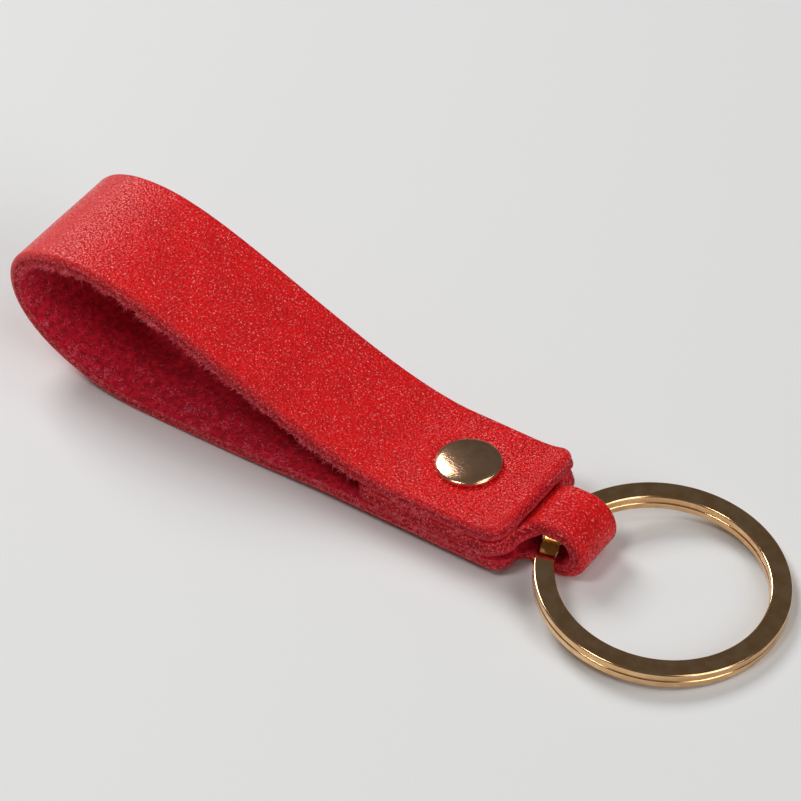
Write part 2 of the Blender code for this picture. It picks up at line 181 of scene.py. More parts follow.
def unit(vectors):
    """The same vectors at length 1."""
    return vectors / np.linalg.norm(vectors, axis=-1)[..., None]


def quarter_left(vectors):
    """Unit vectors a quarter turn to the left of the given ones."""
    return unit(np.stack([-vectors[..., 1], vectors[..., 0]], axis=-1))


def running_length(points):
    """Length along a chain of points, from 0 at the first."""
    return np.concatenate([[0.0], np.cumsum(np.linalg.norm(np.diff(points, axis=0), axis=1))])


def middle_line():
    """The chain of stretches in the side view, from the lid's end to the tab's end."""
    fold = np.array([FOLD_REACH, FOLD_Z])
    rise_start = np.array([RISE_REACH, TAB_Z])
    rise_end = fold + FOLD_RADIUS * UPRIGHT - FOLD_SLACK * LEVEL
    rise = level_cubic(rise_start, rise_end, RISE_PULL_SHARES)
    over = rise + LAYER_STEP * quarter_left(np.gradient(rise, axis=0))
    tip = np.array([LID_REACH, np.interp(LID_REACH, over[:, 0], over[:, 1])])
    flat = np.array([LID_START, TOP_Z])
    lid = cubic(tip, tip - LID_PULL_SHARES[1] * (tip - flat),
                flat + LID_PULL_SHARES[0] * (tip - flat)[0] * LEVEL, flat)
    flat_end = np.array([-TOP_FLAT, TOP_Z])
    crest = np.array([-CREST_X_SHARE * LOOP_REACH, LOOP_HEIGHT - LEATHER / 2])
    loop_end = np.array([LEATHER / 2 - LOOP_REACH, END_Z_SHARE * LOOP_HEIGHT])
    floor = np.array([-FLOOR_X_SHARE * LOOP_REACH, LEATHER / 2])
    bottom_start = np.array([-BOTTOM_FLAT, BOTTOM_Z])
    dip_start = np.array([DIP_REACH, BOTTOM_Z])
    dip_end = fold - FOLD_RADIUS * UPRIGHT - FOLD_SLACK * LEVEL
    crest_size = crest - loop_end
    under_size = loop_end - floor
    turn = np.linspace(-math.pi / 2, math.pi / 2, FINE_STEPS)[:, None]
    return [
        ("lid", lid),
        ("top_flat", np.linspace(lid[-1], flat_end, FINE_STEPS)),
        ("top_curve", level_cubic(flat_end, crest, TOP_PULL_SHARES)),
        ("crest_curve", cubic(crest, crest - CREST_PULL_SHARES[0] * crest_size[0] * LEVEL,
                              loop_end + CREST_PULL_SHARES[1] * crest_size[1] * UPRIGHT, loop_end)),
        ("under_curve", cubic(loop_end, loop_end - UNDER_PULL_SHARES[0] * under_size[1] * UPRIGHT,
                              floor + UNDER_PULL_SHARES[1] * under_size[0] * LEVEL, floor)),
        ("bottom_curve", level_cubic(floor, bottom_start, BOTTOM_PULL_SHARES)),
        ("bottom_flat", np.linspace(bottom_start, dip_start, FINE_STEPS)),
        ("dip", level_cubic(dip_start, dip_end, DIP_PULL_SHARES)),
        ("fold_floor", np.linspace(dip_end, dip_end + FOLD_SLACK * LEVEL, FINE_STEPS)),
        ("arc", fold + FOLD_RADIUS * (np.cos(turn) * LEVEL + np.sin(turn) * UPRIGHT)),
        ("crown", np.linspace(rise_end + FOLD_SLACK * LEVEL, rise_end, FINE_STEPS)),
        ("rise", rise[::-1]),
        ("tab", np.linspace(rise_start, np.array([-TAB_REACH, TAB_Z]), FINE_STEPS)),
    ]


def bend_stretch():
    """How fast the path turns, smoothed, as a share of the fullest bend, before the bottom flat."""
    turn = np.gradient(np.unwrap(np.arctan2(path_normals[:, 1], path_normals[:, 0])), path_run)
    even = np.arange(0.0, STRIP_LENGTH, STRETCH_STEP)
    window = np.hanning(2 * STRETCH_BLUR + 1)
    smooth = np.convolve(np.interp(even, path_run, turn), window / window.sum(), mode="same")
    stretch = np.interp(path_run, even, np.clip(smooth * FULL_BEND_RADIUS, 0.0, 1.0))
    return stretch * (path_run < path_run[starts["bottom_flat"]])


stretches = middle_line()
starts = {name: order * (FINE_STEPS - 1) for order, (name, points) in enumerate(stretches)}
path = np.concatenate([stretches[0][1]] + [points[1:] for name, points in stretches[1:]])
path_run = running_length(path)
path_normals = quarter_left(np.gradient(path, axis=0))
STRIP_LENGTH = float(path_run[-1])
path_stretch = bend_stretch()
print("the strip is", round(STRIP_LENGTH / MM, 1), "mm long")

# %% [markdown]
# Laid flat, the strip is a plain outline: round corners at both ends, and two necks where it
# narrows to the waist that goes through the ring. Each neck leaves the full width by a quarter
# circle that bulges, and reaches the waist by a hollow one, as a punch would cut it.

# %% The strip's flat outline
WAIST_WIDTH = 7.6 * MM
NECK_REACH = 7.85 * MM
NECK_CORNER_SHARE = 0.54
END_CORNER = 2.0 * MM
SLOPE_STEP = 0.02 * MM
SHOULDER = (STRAP_WIDTH - WAIST_WIDTH) / 2
NECK_CORNER = NECK_CORNER_SHARE * SHOULDER
NECK_FILLET = SHOULDER - NECK_CORNER


def run_where(first, last, reach):
    """The running length at which a stretch of the path passes a reach from the rivet."""
    places = path[first:last, 0]
    order = np.argsort(places)
    return float(np.interp(reach, places[order], path_run[first:last][order]))


NECK_START = run_where(starts["bottom_flat"], starts["fold_floor"], NECK_REACH)
TAB_NECK_END = run_where(starts["rise"], len(path), NECK_REACH)
FOLD_RUN = float(path_run[starts["arc"]])
TAB_START = float(path_run[starts["rise"]])


def neck_half_width(run):
    """Half the width, less the fall of the neck: a bulging quarter circle, then a hollow one."""
    into = np.clip(np.minimum(run - NECK_START, TAB_NECK_END - run), 0.0, SHOULDER)
    bulge = np.clip(into, 0.0, NECK_CORNER)
    hollow = np.clip(into - NECK_CORNER, 0.0, NECK_FILLET)
    fall = (NECK_CORNER - np.sqrt(NECK_CORNER**2 - bulge**2)
            + np.sqrt(NECK_FILLET**2 - (NECK_FILLET - hollow)**2))
    return STRAP_WIDTH / 2 - fall


def half_width(run):
    """The neck's half width, less the round corners at both ends of the strip."""
    into = np.clip(END_CORNER - np.minimum(run, STRIP_LENGTH - run), 0.0, END_CORNER)
    return neck_half_width(run) - END_CORNER + np.sqrt(END_CORNER**2 - into**2)


def edge_distance(run, across):
    """How far a place on the flat strip is from its cut outline, up to the end corner's radius."""
    from_end = np.minimum(run, STRIP_LENGTH - run)
    in_x = np.maximum(END_CORNER - from_end, 0.0)
    in_y = np.maximum(np.abs(across) - (STRAP_WIDTH / 2 - END_CORNER), 0.0)
    from_corner = END_CORNER - np.hypot(in_x, in_y)
    slope = (neck_half_width(run + SLOPE_STEP) - neck_half_width(run - SLOPE_STEP)) / (2 * SLOPE_STEP)
    from_neck = (neck_half_width(run) - np.abs(across)) / np.sqrt(1 + slope**2)
    return np.clip(np.minimum(from_corner, from_neck), 0.0, END_CORNER)


# %% [markdown]
# Real leather is never quite even. A small value noise does for every unevenness here: random
# heights on a lattice, blended smoothly between the lattice points. Each use has its own seed,
# so the strap is the same in every run.

# %% Smooth unevenness
LATTICE_SIZE = 256


def smooth_step(t):
    """3t^2 - 2t^3, which leaves 0 and reaches 1 without a corner."""
    return 3 * t**2 - 2 * t**3


def soft_noise(a, b, cell, seed):
    """Random heights from -1 to 1 on a square lattice, blended by smooth steps between its points."""
    draw = np.random.default_rng(seed)
    lattice = draw.uniform(-1.0, 1.0, (LATTICE_SIZE + 1, LATTICE_SIZE + 1))
    a_low = np.floor(a / cell).astype(int)
    b_low = np.floor(b / cell).astype(int)
    s = smooth_step(a / cell - a_low)
    t = smooth_step(b / cell - b_low)
    a_low = a_low % LATTICE_SIZE
    b_low = b_low % LATTICE_SIZE
    near = lattice[a_low, b_low] * (1 - s) + lattice[a_low + 1, b_low] * s
    far = lattice[a_low, b_low + 1] * (1 - s) + lattice[a_low + 1, b_low + 1] * s
    return near * (1 - t) + far * t


# %% [markdown]
# The strip's mesh is two sheets and a wall. Each sheet is a grid over the flat outline: rows
# along the strip and columns across it, closer together near every cut edge. The grain sheet
# rolls down over nearly half of the edge, because the cutting die presses it, and the flesh
# sheet has a sharp corner. The wall joins the two boundaries. A grid like this keeps its real
# lengths, so it also gives the grain a texture map that isn't stretched.

# %% Rows and columns of the strip
ROLL_WIDTH = 0.65 * MM
ROLL_DEPTH = 0.85 * MM
TAB_ROLL_SHARE = 0.5
FLESH_ROLL = 0.12 * MM
ROW_STEP = 0.36 * MM
FOLD_ROW_STEP = 0.22 * MM
CORNER_ROWS = 12
EDGE_COLUMNS = 8
INNER_COLUMNS = 32
LEAST_ROW_STEP = 0.012 * MM


def strip_rows():
    """Running lengths of the rows: even steps, finer at the fold, the end corners and the necks."""
    quarter = quarter_turn(CORNER_ROWS + 1)
    fast = 1 - np.cos(quarter)
    fold = np.arange(NECK_START, TAB_NECK_END, FOLD_ROW_STEP)
    even = np.concatenate([np.arange(0.0, NECK_START, ROW_STEP),
                           fold, np.arange(TAB_NECK_END, STRIP_LENGTH, ROW_STEP)])
    neck = np.concatenate([NECK_CORNER * np.sin(quarter), NECK_CORNER + NECK_FILLET * fast])
    corner = END_CORNER * fast
    from_end = np.minimum(even, STRIP_LENGTH - even)
    into_neck = np.minimum(even - NECK_START, TAB_NECK_END - even)
    plain = even[(from_end > END_CORNER) & ((into_neck <= 0) | (into_neck >= SHOULDER))]
    rows = np.unique(np.concatenate([plain, corner, STRIP_LENGTH - corner,
                                     NECK_START + neck, TAB_NECK_END - neck]))
    keep = np.concatenate([[True], np.diff(rows) > LEAST_ROW_STEP])
    keep[-1] = True
    return rows[keep]


def strip_columns(half):
    """Places across each row: distances w(1 - cos) from both edges, even steps between."""
    from_edge = ROLL_WIDTH * (1 - np.cos(quarter_turn(EDGE_COLUMNS)))
    inner = np.linspace(-1.0, 1.0, INNER_COLUMNS)[None, 1:-1] * (half[:, None] - ROLL_WIDTH)
    left = -half[:, None] + from_edge[None, :]
    return np.concatenate([left, inner, -left[:, ::-1]], axis=1)


rows = strip_rows()
columns = strip_columns(half_width(rows))
RUN = np.repeat(rows[:, None], columns.shape[1], axis=1)
print("strip grid:", columns.shape)

# %% [markdown]
# The finger loop isn't quite square to the table: its end leans along and up towards the far
# edge, as a hand-bent loop does. One weight carries that lean. It grows with the square of the
# reach, with the height and with the place across the strap, so the stack stays flat.

# %% From the flat strip to the bent one
LOOP_SKEW = 0.65 * MM
LOOP_TWIST = 1.15 * MM


def bend_strip(run, across, depth):
    """Place = middle line at the run + depth along its left normal + across along Y, then the lean."""
    middle = np.stack([np.interp(run, path_run, path[:, axis]) for axis in (0, 1)], axis=-1)
    inward = np.stack([np.interp(run, path_run, path_normals[:, axis]) for axis in (0, 1)], axis=-1)
    side = middle + depth[..., None] * unit(inward)
    reach = np.clip(-side[..., 0] / LOOP_REACH, 0.0, 1.0)
    rise = np.clip(side[..., 1] / LOOP_HEIGHT, 0.0, 1.0)
    weight = reach**2 * rise * across / (STRAP_WIDTH / 2)
    return np.stack([RIVET_X + side[..., 0] + LOOP_SKEW * weight, across,
                     side[..., 1] + LOOP_TWIST * weight], axis=-1)


# %% [markdown]
# Three small forms make it leather and not sheet plastic. The rivet's caps press a shallow dish
# into the outer layers. The flesh sides swell a little inside the stack, because the rivet
# squeezes the layers together, and the tab is thicker where it starts to rise. And the flesh side
# and the cut wall are uneven, where fibres were torn or cut, while the grain side stays nearly
# smooth.

# %% Depths of the two sheets
PRESS_DEPTH = 0.16 * MM
PRESS_REACH = 1.6 * MM
SWELL = 0.06 * MM
TAB_FILL = 0.30 * MM
TAB_FILL_REACH = 7.6 * MM
TAB_FILL_FALL = 1.2 * MM
GRAIN_WAVE = 0.025 * MM
FLESH_WAVE = 0.09 * MM
FLESH_CELL = 0.8 * MM
WAVE_CELL = 5.0 * MM
WALL_ROUGH = 0.05 * MM
WALL_CELL = 0.55 * MM
WALL_LEVELS = 7
FINE_WALL_SHARE = 0.6
FINE_WALL_CELL = WALL_CELL / 2.2
STACK_REACH = 0.5 * LID_REACH
STACK_FALL = 0.3 * LID_REACH
FOLD_CLEARANCE = 6 * LEATHER
TAB_BLEND = 2 * LEATHER


def roll_over(distance, width, depth):
    """Depth of a quarter ellipse's edge: h(1 - sqrt(1 - (1 - d/w)^2)) for a distance d under w."""
    into = np.clip(1 - distance / width, 0.0, 1.0)
    return depth * (1 - np.sqrt(1 - into**2))


def smooth_fall(distance, reach):
    """1 at no distance, falling by a smooth step to 0 at the reach."""
    return 1 - smooth_step(np.clip(distance / reach, 0.0, 1.0))


def strip_sheets():
    """Depth of the grain sheet and of the flesh sheet at every place of the grid."""
    distance = edge_distance(RUN, columns)
    side_x = np.interp(RUN, path_run, path[:, 0])
    from_rivet = np.hypot(side_x, columns)
    press = PRESS_DEPTH * (RUN < TAB_START) * smooth_fall(from_rivet - CAP_RADIUS, PRESS_REACH)
    stacked = smooth_fall(np.abs(side_x) - STACK_REACH, STACK_FALL)
    stacked = stacked * (np.abs(RUN - FOLD_RUN) > FOLD_CLEARANCE)
    in_tab = smooth_fall(TAB_START + TAB_BLEND - RUN, TAB_BLEND)
    share = 1 - (1 - TAB_ROLL_SHARE) * in_tab
    grain = roll_over(distance, ROLL_WIDTH, ROLL_DEPTH * share) - LEATHER / 2 + press
    grain += GRAIN_WAVE * soft_noise(RUN, columns, WAVE_CELL, seed=3)
    risen = np.clip(np.interp(RUN, path_run, path[:, 1]) - TAB_Z, 0.0, TAB_FILL)
    fill = risen * in_tab * smooth_fall(side_x - TAB_FILL_REACH, TAB_FILL_FALL)
    flesh = LEATHER / 2 - roll_over(distance, FLESH_ROLL, FLESH_ROLL) + SWELL * stacked + fill
    flesh += FLESH_WAVE * soft_noise(RUN, columns, FLESH_CELL, seed=5) * (1 - stacked)
    return grain, flesh


def map_over_edges():
    """The flat place pushed out by the rolled edge's depth, so that the map isn't squeezed."""
    fall = roll_over(edge_distance(RUN, columns), ROLL_WIDTH, ROLL_DEPTH)
    from_end = np.minimum(RUN, STRIP_LENGTH - RUN)
    past_end = np.clip(1 - from_end / END_CORNER, 0.0, 1.0)
    to_end = np.where(RUN < STRIP_LENGTH / 2, -1.0, 1.0)
    return RUN + fall * past_end * to_end, columns + fall * (1 - past_end) * np.sign(columns)


grain_depth, flesh_depth = strip_sheets()
map_run, map_across = map_over_edges()

# %% [markdown]
# The wall follows the boundary of the grid once round. Its levels are blended from the grain
# sheet's depth to the flesh sheet's, and it is pushed in and out along the outline's own normal
# by the noise, so that the edge looks cut and not moulded.

# %% The wall round the strip
def boundary_loop(shape):
    """Row and column numbers once round the grid: first row, last column, last row, first column."""
    row_count, column_count = shape
    r = np.concatenate([np.zeros(column_count - 1, int), np.arange(row_count - 1),
                        np.full(column_count - 1, row_count - 1), np.arange(row_count - 1, 0, -1)])
    c = np.concatenate([np.arange(column_count - 1), np.full(row_count - 1, column_count - 1),
                        np.arange(column_count - 1, 0, -1), np.zeros(row_count - 1, int)])
    return r, c


loop_r, loop_c = boundary_loop(columns.shape)
outline = np.stack([RUN[loop_r, loop_c], columns[loop_r, loop_c]], axis=1)


def wall_points():
    """Levels of the wall between the two sheets, each moved along the outline's normal by noise."""
    outward = quarter_left(np.roll(outline, -1, axis=0) - np.roll(outline, 1, axis=0))
    share = np.linspace(0.0, 1.0, WALL_LEVELS + 2)[1:-1]
    low = grain_depth[loop_r, loop_c]
    high = flesh_depth[loop_r, loop_c]
    depth = low[:, None] + (high - low)[:, None] * share[None, :]
    length = np.repeat(running_length(outline)[:, None], WALL_LEVELS, axis=1)
    push = soft_noise(length, depth + LEATHER, WALL_CELL, seed=7)
    push += FINE_WALL_SHARE * soft_noise(length, depth + LEATHER, FINE_WALL_CELL, seed=8)
    place = outline[:, None, :] + WALL_ROUGH * push[..., None] * outward[:, None, :]
    return bend_strip(place[..., 0], place[..., 1], depth), depth


wall, wall_depth = wall_points()
print("wall points:", wall.shape[:2])

# %% [markdown]
# Now the arrays become one closed mesh. Vertices are numbered grain sheet, flesh sheet, wall, so
# every face is arithmetic on whole arrays of numbers. Each face gets one of three finishes:
# grain, flesh or cut edge. Three values are stored on the vertices for the materials: how much
# the leather is stretched, how near the rim it is, and the depth through it.

# %% Build the strap's mesh
def grid_quads(numbers):
    """Four corner numbers for each cell of a grid of vertex numbers."""
    return np.stack([numbers[:-1, :-1], numbers[1:, :-1], numbers[1:, 1:], numbers[:-1, 1:]],
                    axis=-1).reshape(-1, 4)


def mesh_volume(mesh):
    """Signed volume of a closed mesh: the sum of its triangles' triple products over six."""
    mesh.calc_loop_triangles()
    points = np.zeros(3 * len(mesh.vertices))
    corners = np.zeros(3 * len(mesh.loop_triangles), dtype=np.int32)
    mesh.vertices.foreach_get("co", points)
    mesh.loop_triangles.foreach_get("vertices", corners)
    a, b, c = points.reshape(-1, 3)[corners.reshape(-1, 3)].transpose(1, 0, 2)
    return float(np.einsum("ij,ij->i", a, np.cross(b, c)).sum() / 6)


def closed_mesh(name, points, faces):
    """A smooth mesh whose faces point outwards: all are turned over if its volume is negative."""
    mesh = bpy.data.meshes.new(name)
    mesh.from_pydata(points.tolist(), [], faces)
    mesh.update()
    mesh.validate()
    if mesh_volume(mesh) < 0:
        mesh.flip_normals()
    mesh.shade_smooth()
    return mesh


def joined(*parts):
    """The numbers of several arrays in one row."""
    return np.concatenate([part.ravel() for part in parts])


def add_value(mesh, name, values):
    """A number on every vertex, which a material reads by its name."""
    layer = mesh.attributes.new(name, "FLOAT", "POINT")
    layer.data.foreach_set("value", values.astype(np.float32))


def add_map(mesh, name, u, v):
    """A texture map from two numbers on every vertex, in metres, stored in millimetres."""
    corners = np.zeros(len(mesh.loops), dtype=np.int32)
    mesh.loops.foreach_get("vertex_index", corners)
    layer = mesh.uv_layers.new(name=name)
    layer.data.foreach_set("uv", (np.stack([u, v], axis=1)[corners] / MM).astype(np.float32).ravel())


def add_piece(name, mesh, *materials):
    """An object at the origin for a mesh, with its materials in order."""
    for material in materials:
        mesh.materials.append(material)
    item = bpy.data.objects.new(name, mesh)
    bpy.context.scene.collection.objects.link(item)
    return item


def print_triangles(piece):
    """One line that says how many triangles a piece has."""
    print(piece.name, "triangles:", sum(len(face.vertices) - 2 for face in piece.data.polygons))


def strap_mesh():
    """Both sheets and the wall as one closed mesh, with its finishes and stored values."""
    count = RUN.size
    sheet = np.arange(count).reshape(RUN.shape)
    levels = 2 * count + np.arange(wall_depth.size).reshape(wall_depth.shape)
    rim = sheet[loop_r, loop_c][:, None]
    strakes = np.concatenate([rim, levels, count + rim], axis=1)
    strakes = np.concatenate([strakes, strakes[:1]])
    quads = [grid_quads(sheet), grid_quads(count + sheet)[:, ::-1], grid_quads(strakes)]
    points = joined(bend_strip(RUN, columns, grain_depth), bend_strip(RUN, columns, flesh_depth), wall)
    mesh = closed_mesh("strap_leather", points.reshape(-1, 3), np.concatenate(quads)[:, ::-1].tolist())
    finish = np.repeat([0, 1, 2], [len(part) for part in quads])
    mesh.polygons.foreach_set("material_index", finish.astype(np.int32))
    wall_run = np.repeat(outline[:, :1], WALL_LEVELS, axis=1)
    wall_across = np.repeat(outline[:, 1:], WALL_LEVELS, axis=1)
    run = joined(RUN, RUN, wall_run)
    on_rim = np.hypot(map_across - columns, map_run - RUN) / ROLL_DEPTH
    add_value(mesh, "stretch", np.interp(run, path_run, path_stretch))
    add_value(mesh, "rim", joined(on_rim, np.zeros(count), np.ones(wall_depth.size)))
    add_value(mesh, "depth", joined(grain_depth, flesh_depth, wall_depth) / MM)
    add_map(mesh, "strip", joined(map_run, RUN, wall_run), joined(map_across, columns, wall_across))
    return mesh


# %% [markdown]
# The rivet's posts go through all three layers, so the strap has a hole there. A Boolean with a
# plain turned cutter makes it, and the result is kept as a new mesh, so that nothing is left
# live and no cutter stays in the scene.

# %% Cut the rivet's hole
POST_HOLE_RADIUS = 1.5 * MM
HOLE_SIDES = 48
CUT_OVERRUN = 2.0 * MM


def capped_tube(name, sections, tips):
    """A closed mesh through a row of equal closed sections, with a fan to a tip at each end."""
    count, girth = sections.shape[:2]
    numbers = np.arange(count * girth).reshape(count, girth)
    numbers = np.concatenate([numbers, numbers[:, :1]], axis=1)
    tip = np.full(girth, count * girth)
    start = np.stack([numbers[0, :-1], numbers[0, 1:], tip], axis=1)
    end = np.stack([numbers[-1, 1:], numbers[-1, :-1], tip + 1], axis=1)
    points = np.concatenate([sections.reshape(-1, 3), tips])
    return closed_mesh(name, points, grid_quads(numbers).tolist() + start.tolist() + end.tolist())


def turned_mesh(name, profile, sides):
    """Points (r cos a, r sin a, z) round the rivet's axis, for a profile that starts and ends on it."""
    angle = np.linspace(0.0, 2 * math.pi, sides, endpoint=False)
    radius = profile[1:-1, :1]
    height = np.repeat(profile[1:-1, 1:], sides, axis=1)
    sections = np.stack([RIVET_X + radius * np.cos(angle), radius * np.sin(angle), height], axis=-1)
    return capped_tube(name, sections, [(RIVET_X, 0.0, z) for z in profile[[0, -1], 1]])


def cut_post_hole(strap):
    """The strap's mesh with a round hole from under the stack to above it."""
    low = -CUT_OVERRUN
    high = cap_high.z + CUT_OVERRUN
    profile = np.array([(0.0, low), (POST_HOLE_RADIUS, low), (POST_HOLE_RADIUS, high), (0.0, high)])
    cutter = add_piece("post_cutter", turned_mesh("post_cutter", profile, HOLE_SIDES))
    cut = strap.modifiers.new("post_hole", "BOOLEAN")
    cut.operation = "DIFFERENCE"
    cut.solver = "EXACT"
    cut.object = cutter
    bpy.context.view_layer.update()
    depsgraph = bpy.context.evaluated_depsgraph_get()
    result = bpy.data.meshes.new_from_object(strap.evaluated_get(depsgraph), depsgraph=depsgraph,
                                             preserve_all_data_layers=True)
    strap.modifiers.clear()
    strap.data = result
    bpy.data.objects.remove(cutter)


# %% [markdown]
# Materials are node trees. Small helpers keep them readable: one adds a node and sets its
# inputs, two open and close a group with named sockets, and one makes a material around the
# Principled shader. A value that is the same all over is set on the shader's own socket.

# %% Helpers for node materials
FLOAT = "NodeSocketFloat"
VECTOR = "NodeSocketVector"


def add_node(tree, kind, inputs, **settings):
    """A node with its settings, and its inputs given as values or as sockets to link from."""
    node = tree.nodes.new(kind)
    for key, value in settings.items():
        setattr(node, key, value)
    for key, value in inputs.items():
        if isinstance(value, bpy.types.NodeSocket):
            tree.links.new(value, node.inputs[key])
        else:
            node.inputs[key].default_value = value
    return node


def maths(tree, operation, *values):
    """The result of a Math node on values or sockets."""
    return add_node(tree, "ShaderNodeMath", dict(enumerate(values)), operation=operation).outputs[0]


def times(tree, first, second):
    """The product of two values or sockets."""
    return maths(tree, "MULTIPLY", first, second)


def vector_maths(tree, operation, first, second):
    """The result of a Vector Math node. SCALE takes a number, the others take a second vector."""
    inputs = {0: first, "Scale" if operation == "SCALE" else 1: second}
    return add_node(tree, "ShaderNodeVectorMath", inputs, operation=operation).outputs[0]


def between(tree, value, low, high, out_low=0.0, out_high=1.0):
    """The value mapped smoothly from low..high to out_low..out_high."""
    inputs = {"Value": value, "From Min": low, "From Max": high, "To Min": out_low, "To Max": out_high}
    return add_node(tree, "ShaderNodeMapRange", inputs, interpolation_type="SMOOTHSTEP").outputs[0]


def noise(tree, place, scale, detail, roughness=0.5, distortion=0.0):
    """The value of a Noise texture at a place."""
    inputs = {"Vector": place, "Scale": scale, "Detail": detail, "Roughness": roughness,
              "Distortion": distortion}
    return add_node(tree, "ShaderNodeTexNoise", inputs).outputs["Fac"]


def mix_colour(tree, factor, first, second):
    """Two colours mixed by a factor."""
    inputs = {0: factor, 6: first, 7: second}
    return add_node(tree, "ShaderNodeMix", inputs, data_type="RGBA").outputs[2]


def open_group(name, **inputs):
    """An empty node group with named inputs, and the sockets that give them inside it."""
    tree = bpy.data.node_groups.new(name, "ShaderNodeTree")
    for label, kind in inputs.items():
        tree.interface.new_socket(name=label, in_out="INPUT", socket_type=kind)
    return tree, tree.nodes.new("NodeGroupInput").outputs


def close_group(tree, **outputs):
    """The same group with its named outputs, each linked from a value inside it."""
    for label in outputs:
        tree.interface.new_socket(name=label, in_out="OUTPUT", socket_type=FLOAT)
    result = tree.nodes.new("NodeGroupOutput").inputs
    for label, value in outputs.items():
        tree.links.new(value, result[label])
    return tree


def use_group(tree, group, inputs):
    """The outputs of a group placed in a material."""
    return add_node(tree, "ShaderNodeGroup", inputs, node_tree=group).outputs


def make_material(name, **plain):
    """A Principled material, its plain sockets set. Returns it with its tree and shader."""
    material = bpy.data.materials.new(name)
    material.use_nodes = True
    tree = material.node_tree
    shader = tree.nodes["Principled BSDF"]
    for key, value in plain.items():
        shader.inputs[key.replace("_", " ")].default_value = value
    return material, tree, shader


def link_finish(tree, shader, colour, height, depth, strength=1.0):
    """Links to the shader: its colour, and a bump of a height with its depth and strength."""
    bump = add_node(tree, "ShaderNodeBump", {"Height": height, "Strength": strength, "Distance": depth})
    tree.links.new(colour, shader.inputs["Base Color"])
    tree.links.new(bump.outputs["Normal"], shader.inputs["Normal"])


# %% [markdown]
# Leather grain is a field of small domes with creases between them. Voronoi cells give the domes:
# the distance to a cell's centre is low on its top and high in the crease. A warp from a noise
# makes the cells uneven. The group works in millimetres, so its cell size is a real one.

# %% Grain group
CREASES = (0.32, 0.62)
DOME_TOPS = (0.25, 0.60, 1.0, 0.0)
PALE_SPOT_LEVELS = (0.56, 0.64)
FINE_GRAIN_SHARE = 0.12


def grain_group(name, dimensions):
    """Height: 1 - distance^2 on each Voronoi cell, plus fine noise. Masks: creases and pale top spots.
    """
    tree, given = open_group(name, Place=VECTOR, Cells=FLOAT, Warp=FLOAT)
    warp = add_node(tree, "ShaderNodeTexNoise", {"Vector": given["Place"], "Scale": 1.8, "Detail": 3.0})
    centred = vector_maths(tree, "SUBTRACT", warp.outputs["Color"], (0.5, 0.5, 0.5))
    pushed = vector_maths(tree, "SCALE", centred, given["Warp"])
    place = vector_maths(tree, "ADD", given["Place"], pushed)
    cells = {"Vector": place, "Scale": given["Cells"], "Randomness": 1.0}
    distance = add_node(tree, "ShaderNodeTexVoronoi", cells, feature="F1",
                        voronoi_dimensions=dimensions).outputs["Distance"]
    fine = noise(tree, place, scale=7.0, detail=3.0, roughness=0.6)
    spots = noise(tree, place, scale=4.2, detail=2.0, roughness=0.6, distortion=0.5)
    pale_spot = times(tree, between(tree, spots, *PALE_SPOT_LEVELS), between(tree, distance, *DOME_TOPS))
    dome = maths(tree, "SUBTRACT", 1.0, maths(tree, "POWER", distance, 2.0))
    height = maths(tree, "ADD", dome, times(tree, fine, FINE_GRAIN_SHARE))
    return close_group(tree, Height=height, Crease=between(tree, distance, *CREASES), Rub=pale_spot)


GRAIN = grain_group("pebble_grain", "2D")
SPECKS = grain_group("edge_specks", "3D")

# %% [markdown]
# Suede and cut edges are a mat of fibres. Two distorted noises at different scales, one sharp
# and one soft, give single fibres and tufts. The same group serves both, in other proportions.

# %% Fibre group
TUFT_SHARE = 1.2
TUFT_TOPS = (0.36, 0.66)
STRAND_TOPS = (0.42, 0.66)


def fibre_group():
    """Tufts from a soft noise, strands from a sharper one, and their sum as a height."""
    tree, given = open_group("fibre_mat", Place=VECTOR, Tufts=FLOAT, Strands=FLOAT)
    place = given["Place"]
    tuft = noise(tree, place, given["Tufts"], detail=3.0, roughness=0.55, distortion=0.6)
    strand = noise(tree, place, given["Strands"], detail=4.0, roughness=0.72, distortion=1.4)
    height = maths(tree, "ADD", times(tree, tuft, TUFT_SHARE), strand)
    return close_group(tree, Height=height, Tuft=between(tree, tuft, *TUFT_TOPS),
                       Strand=between(tree, strand, *STRAND_TOPS))


FIBRE = fibre_group()

# %% [markdown]
# The grain side is dyed a saturated red. Its colour also carries painted light. Painted shade
# darkens the creases, and painted glints, small pale pink spots, sit on the tops of the domes. Round
# the end of the finger loop the leather is stretched, so the grain is flatter there, and a painted
# sheen makes the red paler. The stretch is a value stored on the mesh, worked out from how tightly
# the strip is bent. The rolled rim is speckled like the cut edge that it turns into.

# %% Grain side of the leather
SPECK_RED = (0.93, 0.0380, 0.0560, 1.0)
SPECK_HOLLOW = (0.46, 0.0035, 0.0095, 1.0)
FIBRE_END_PINK = (1.00, 0.3600, 0.3900, 1.0)
DYE_DEEP = (0.66, 0.0030, 0.0044, 1.0)
DYE_BRIGHT = (0.76, 0.0040, 0.0056, 1.0)
# Painted sheen: the pale pink that the stretched end of the loop is mixed towards.
PAINTED_SHEEN_PINK = (0.78, 0.0880, 0.0880, 1.0)
# Painted shade: the darker red of the creases between the domes.
CREASE_SHADE_RED = (0.30, 0.0010, 0.0022, 1.0)
# Painted glints: the pale pink of small spots on the dome tops.
PAINTED_GLINT_PINK = (1.00, 0.3200, 0.3000, 1.0)
CLOUDS = (0.35, 0.65)
GLINT_PATCHES = (0.34, 0.62, 0.30, 0.78)
FULL_STRETCH = (0.20, 1.0)
PAINTED_SHEEN_SHARE = 0.66
STRETCH_FLATTENS = 0.40
CREASE_SHADE_SHARE = 0.62
GRAIN_ROUGHNESS = 0.20
CREASE_ROUGHNESS = 0.35
GRAIN_BUMP = 0.095 * MM


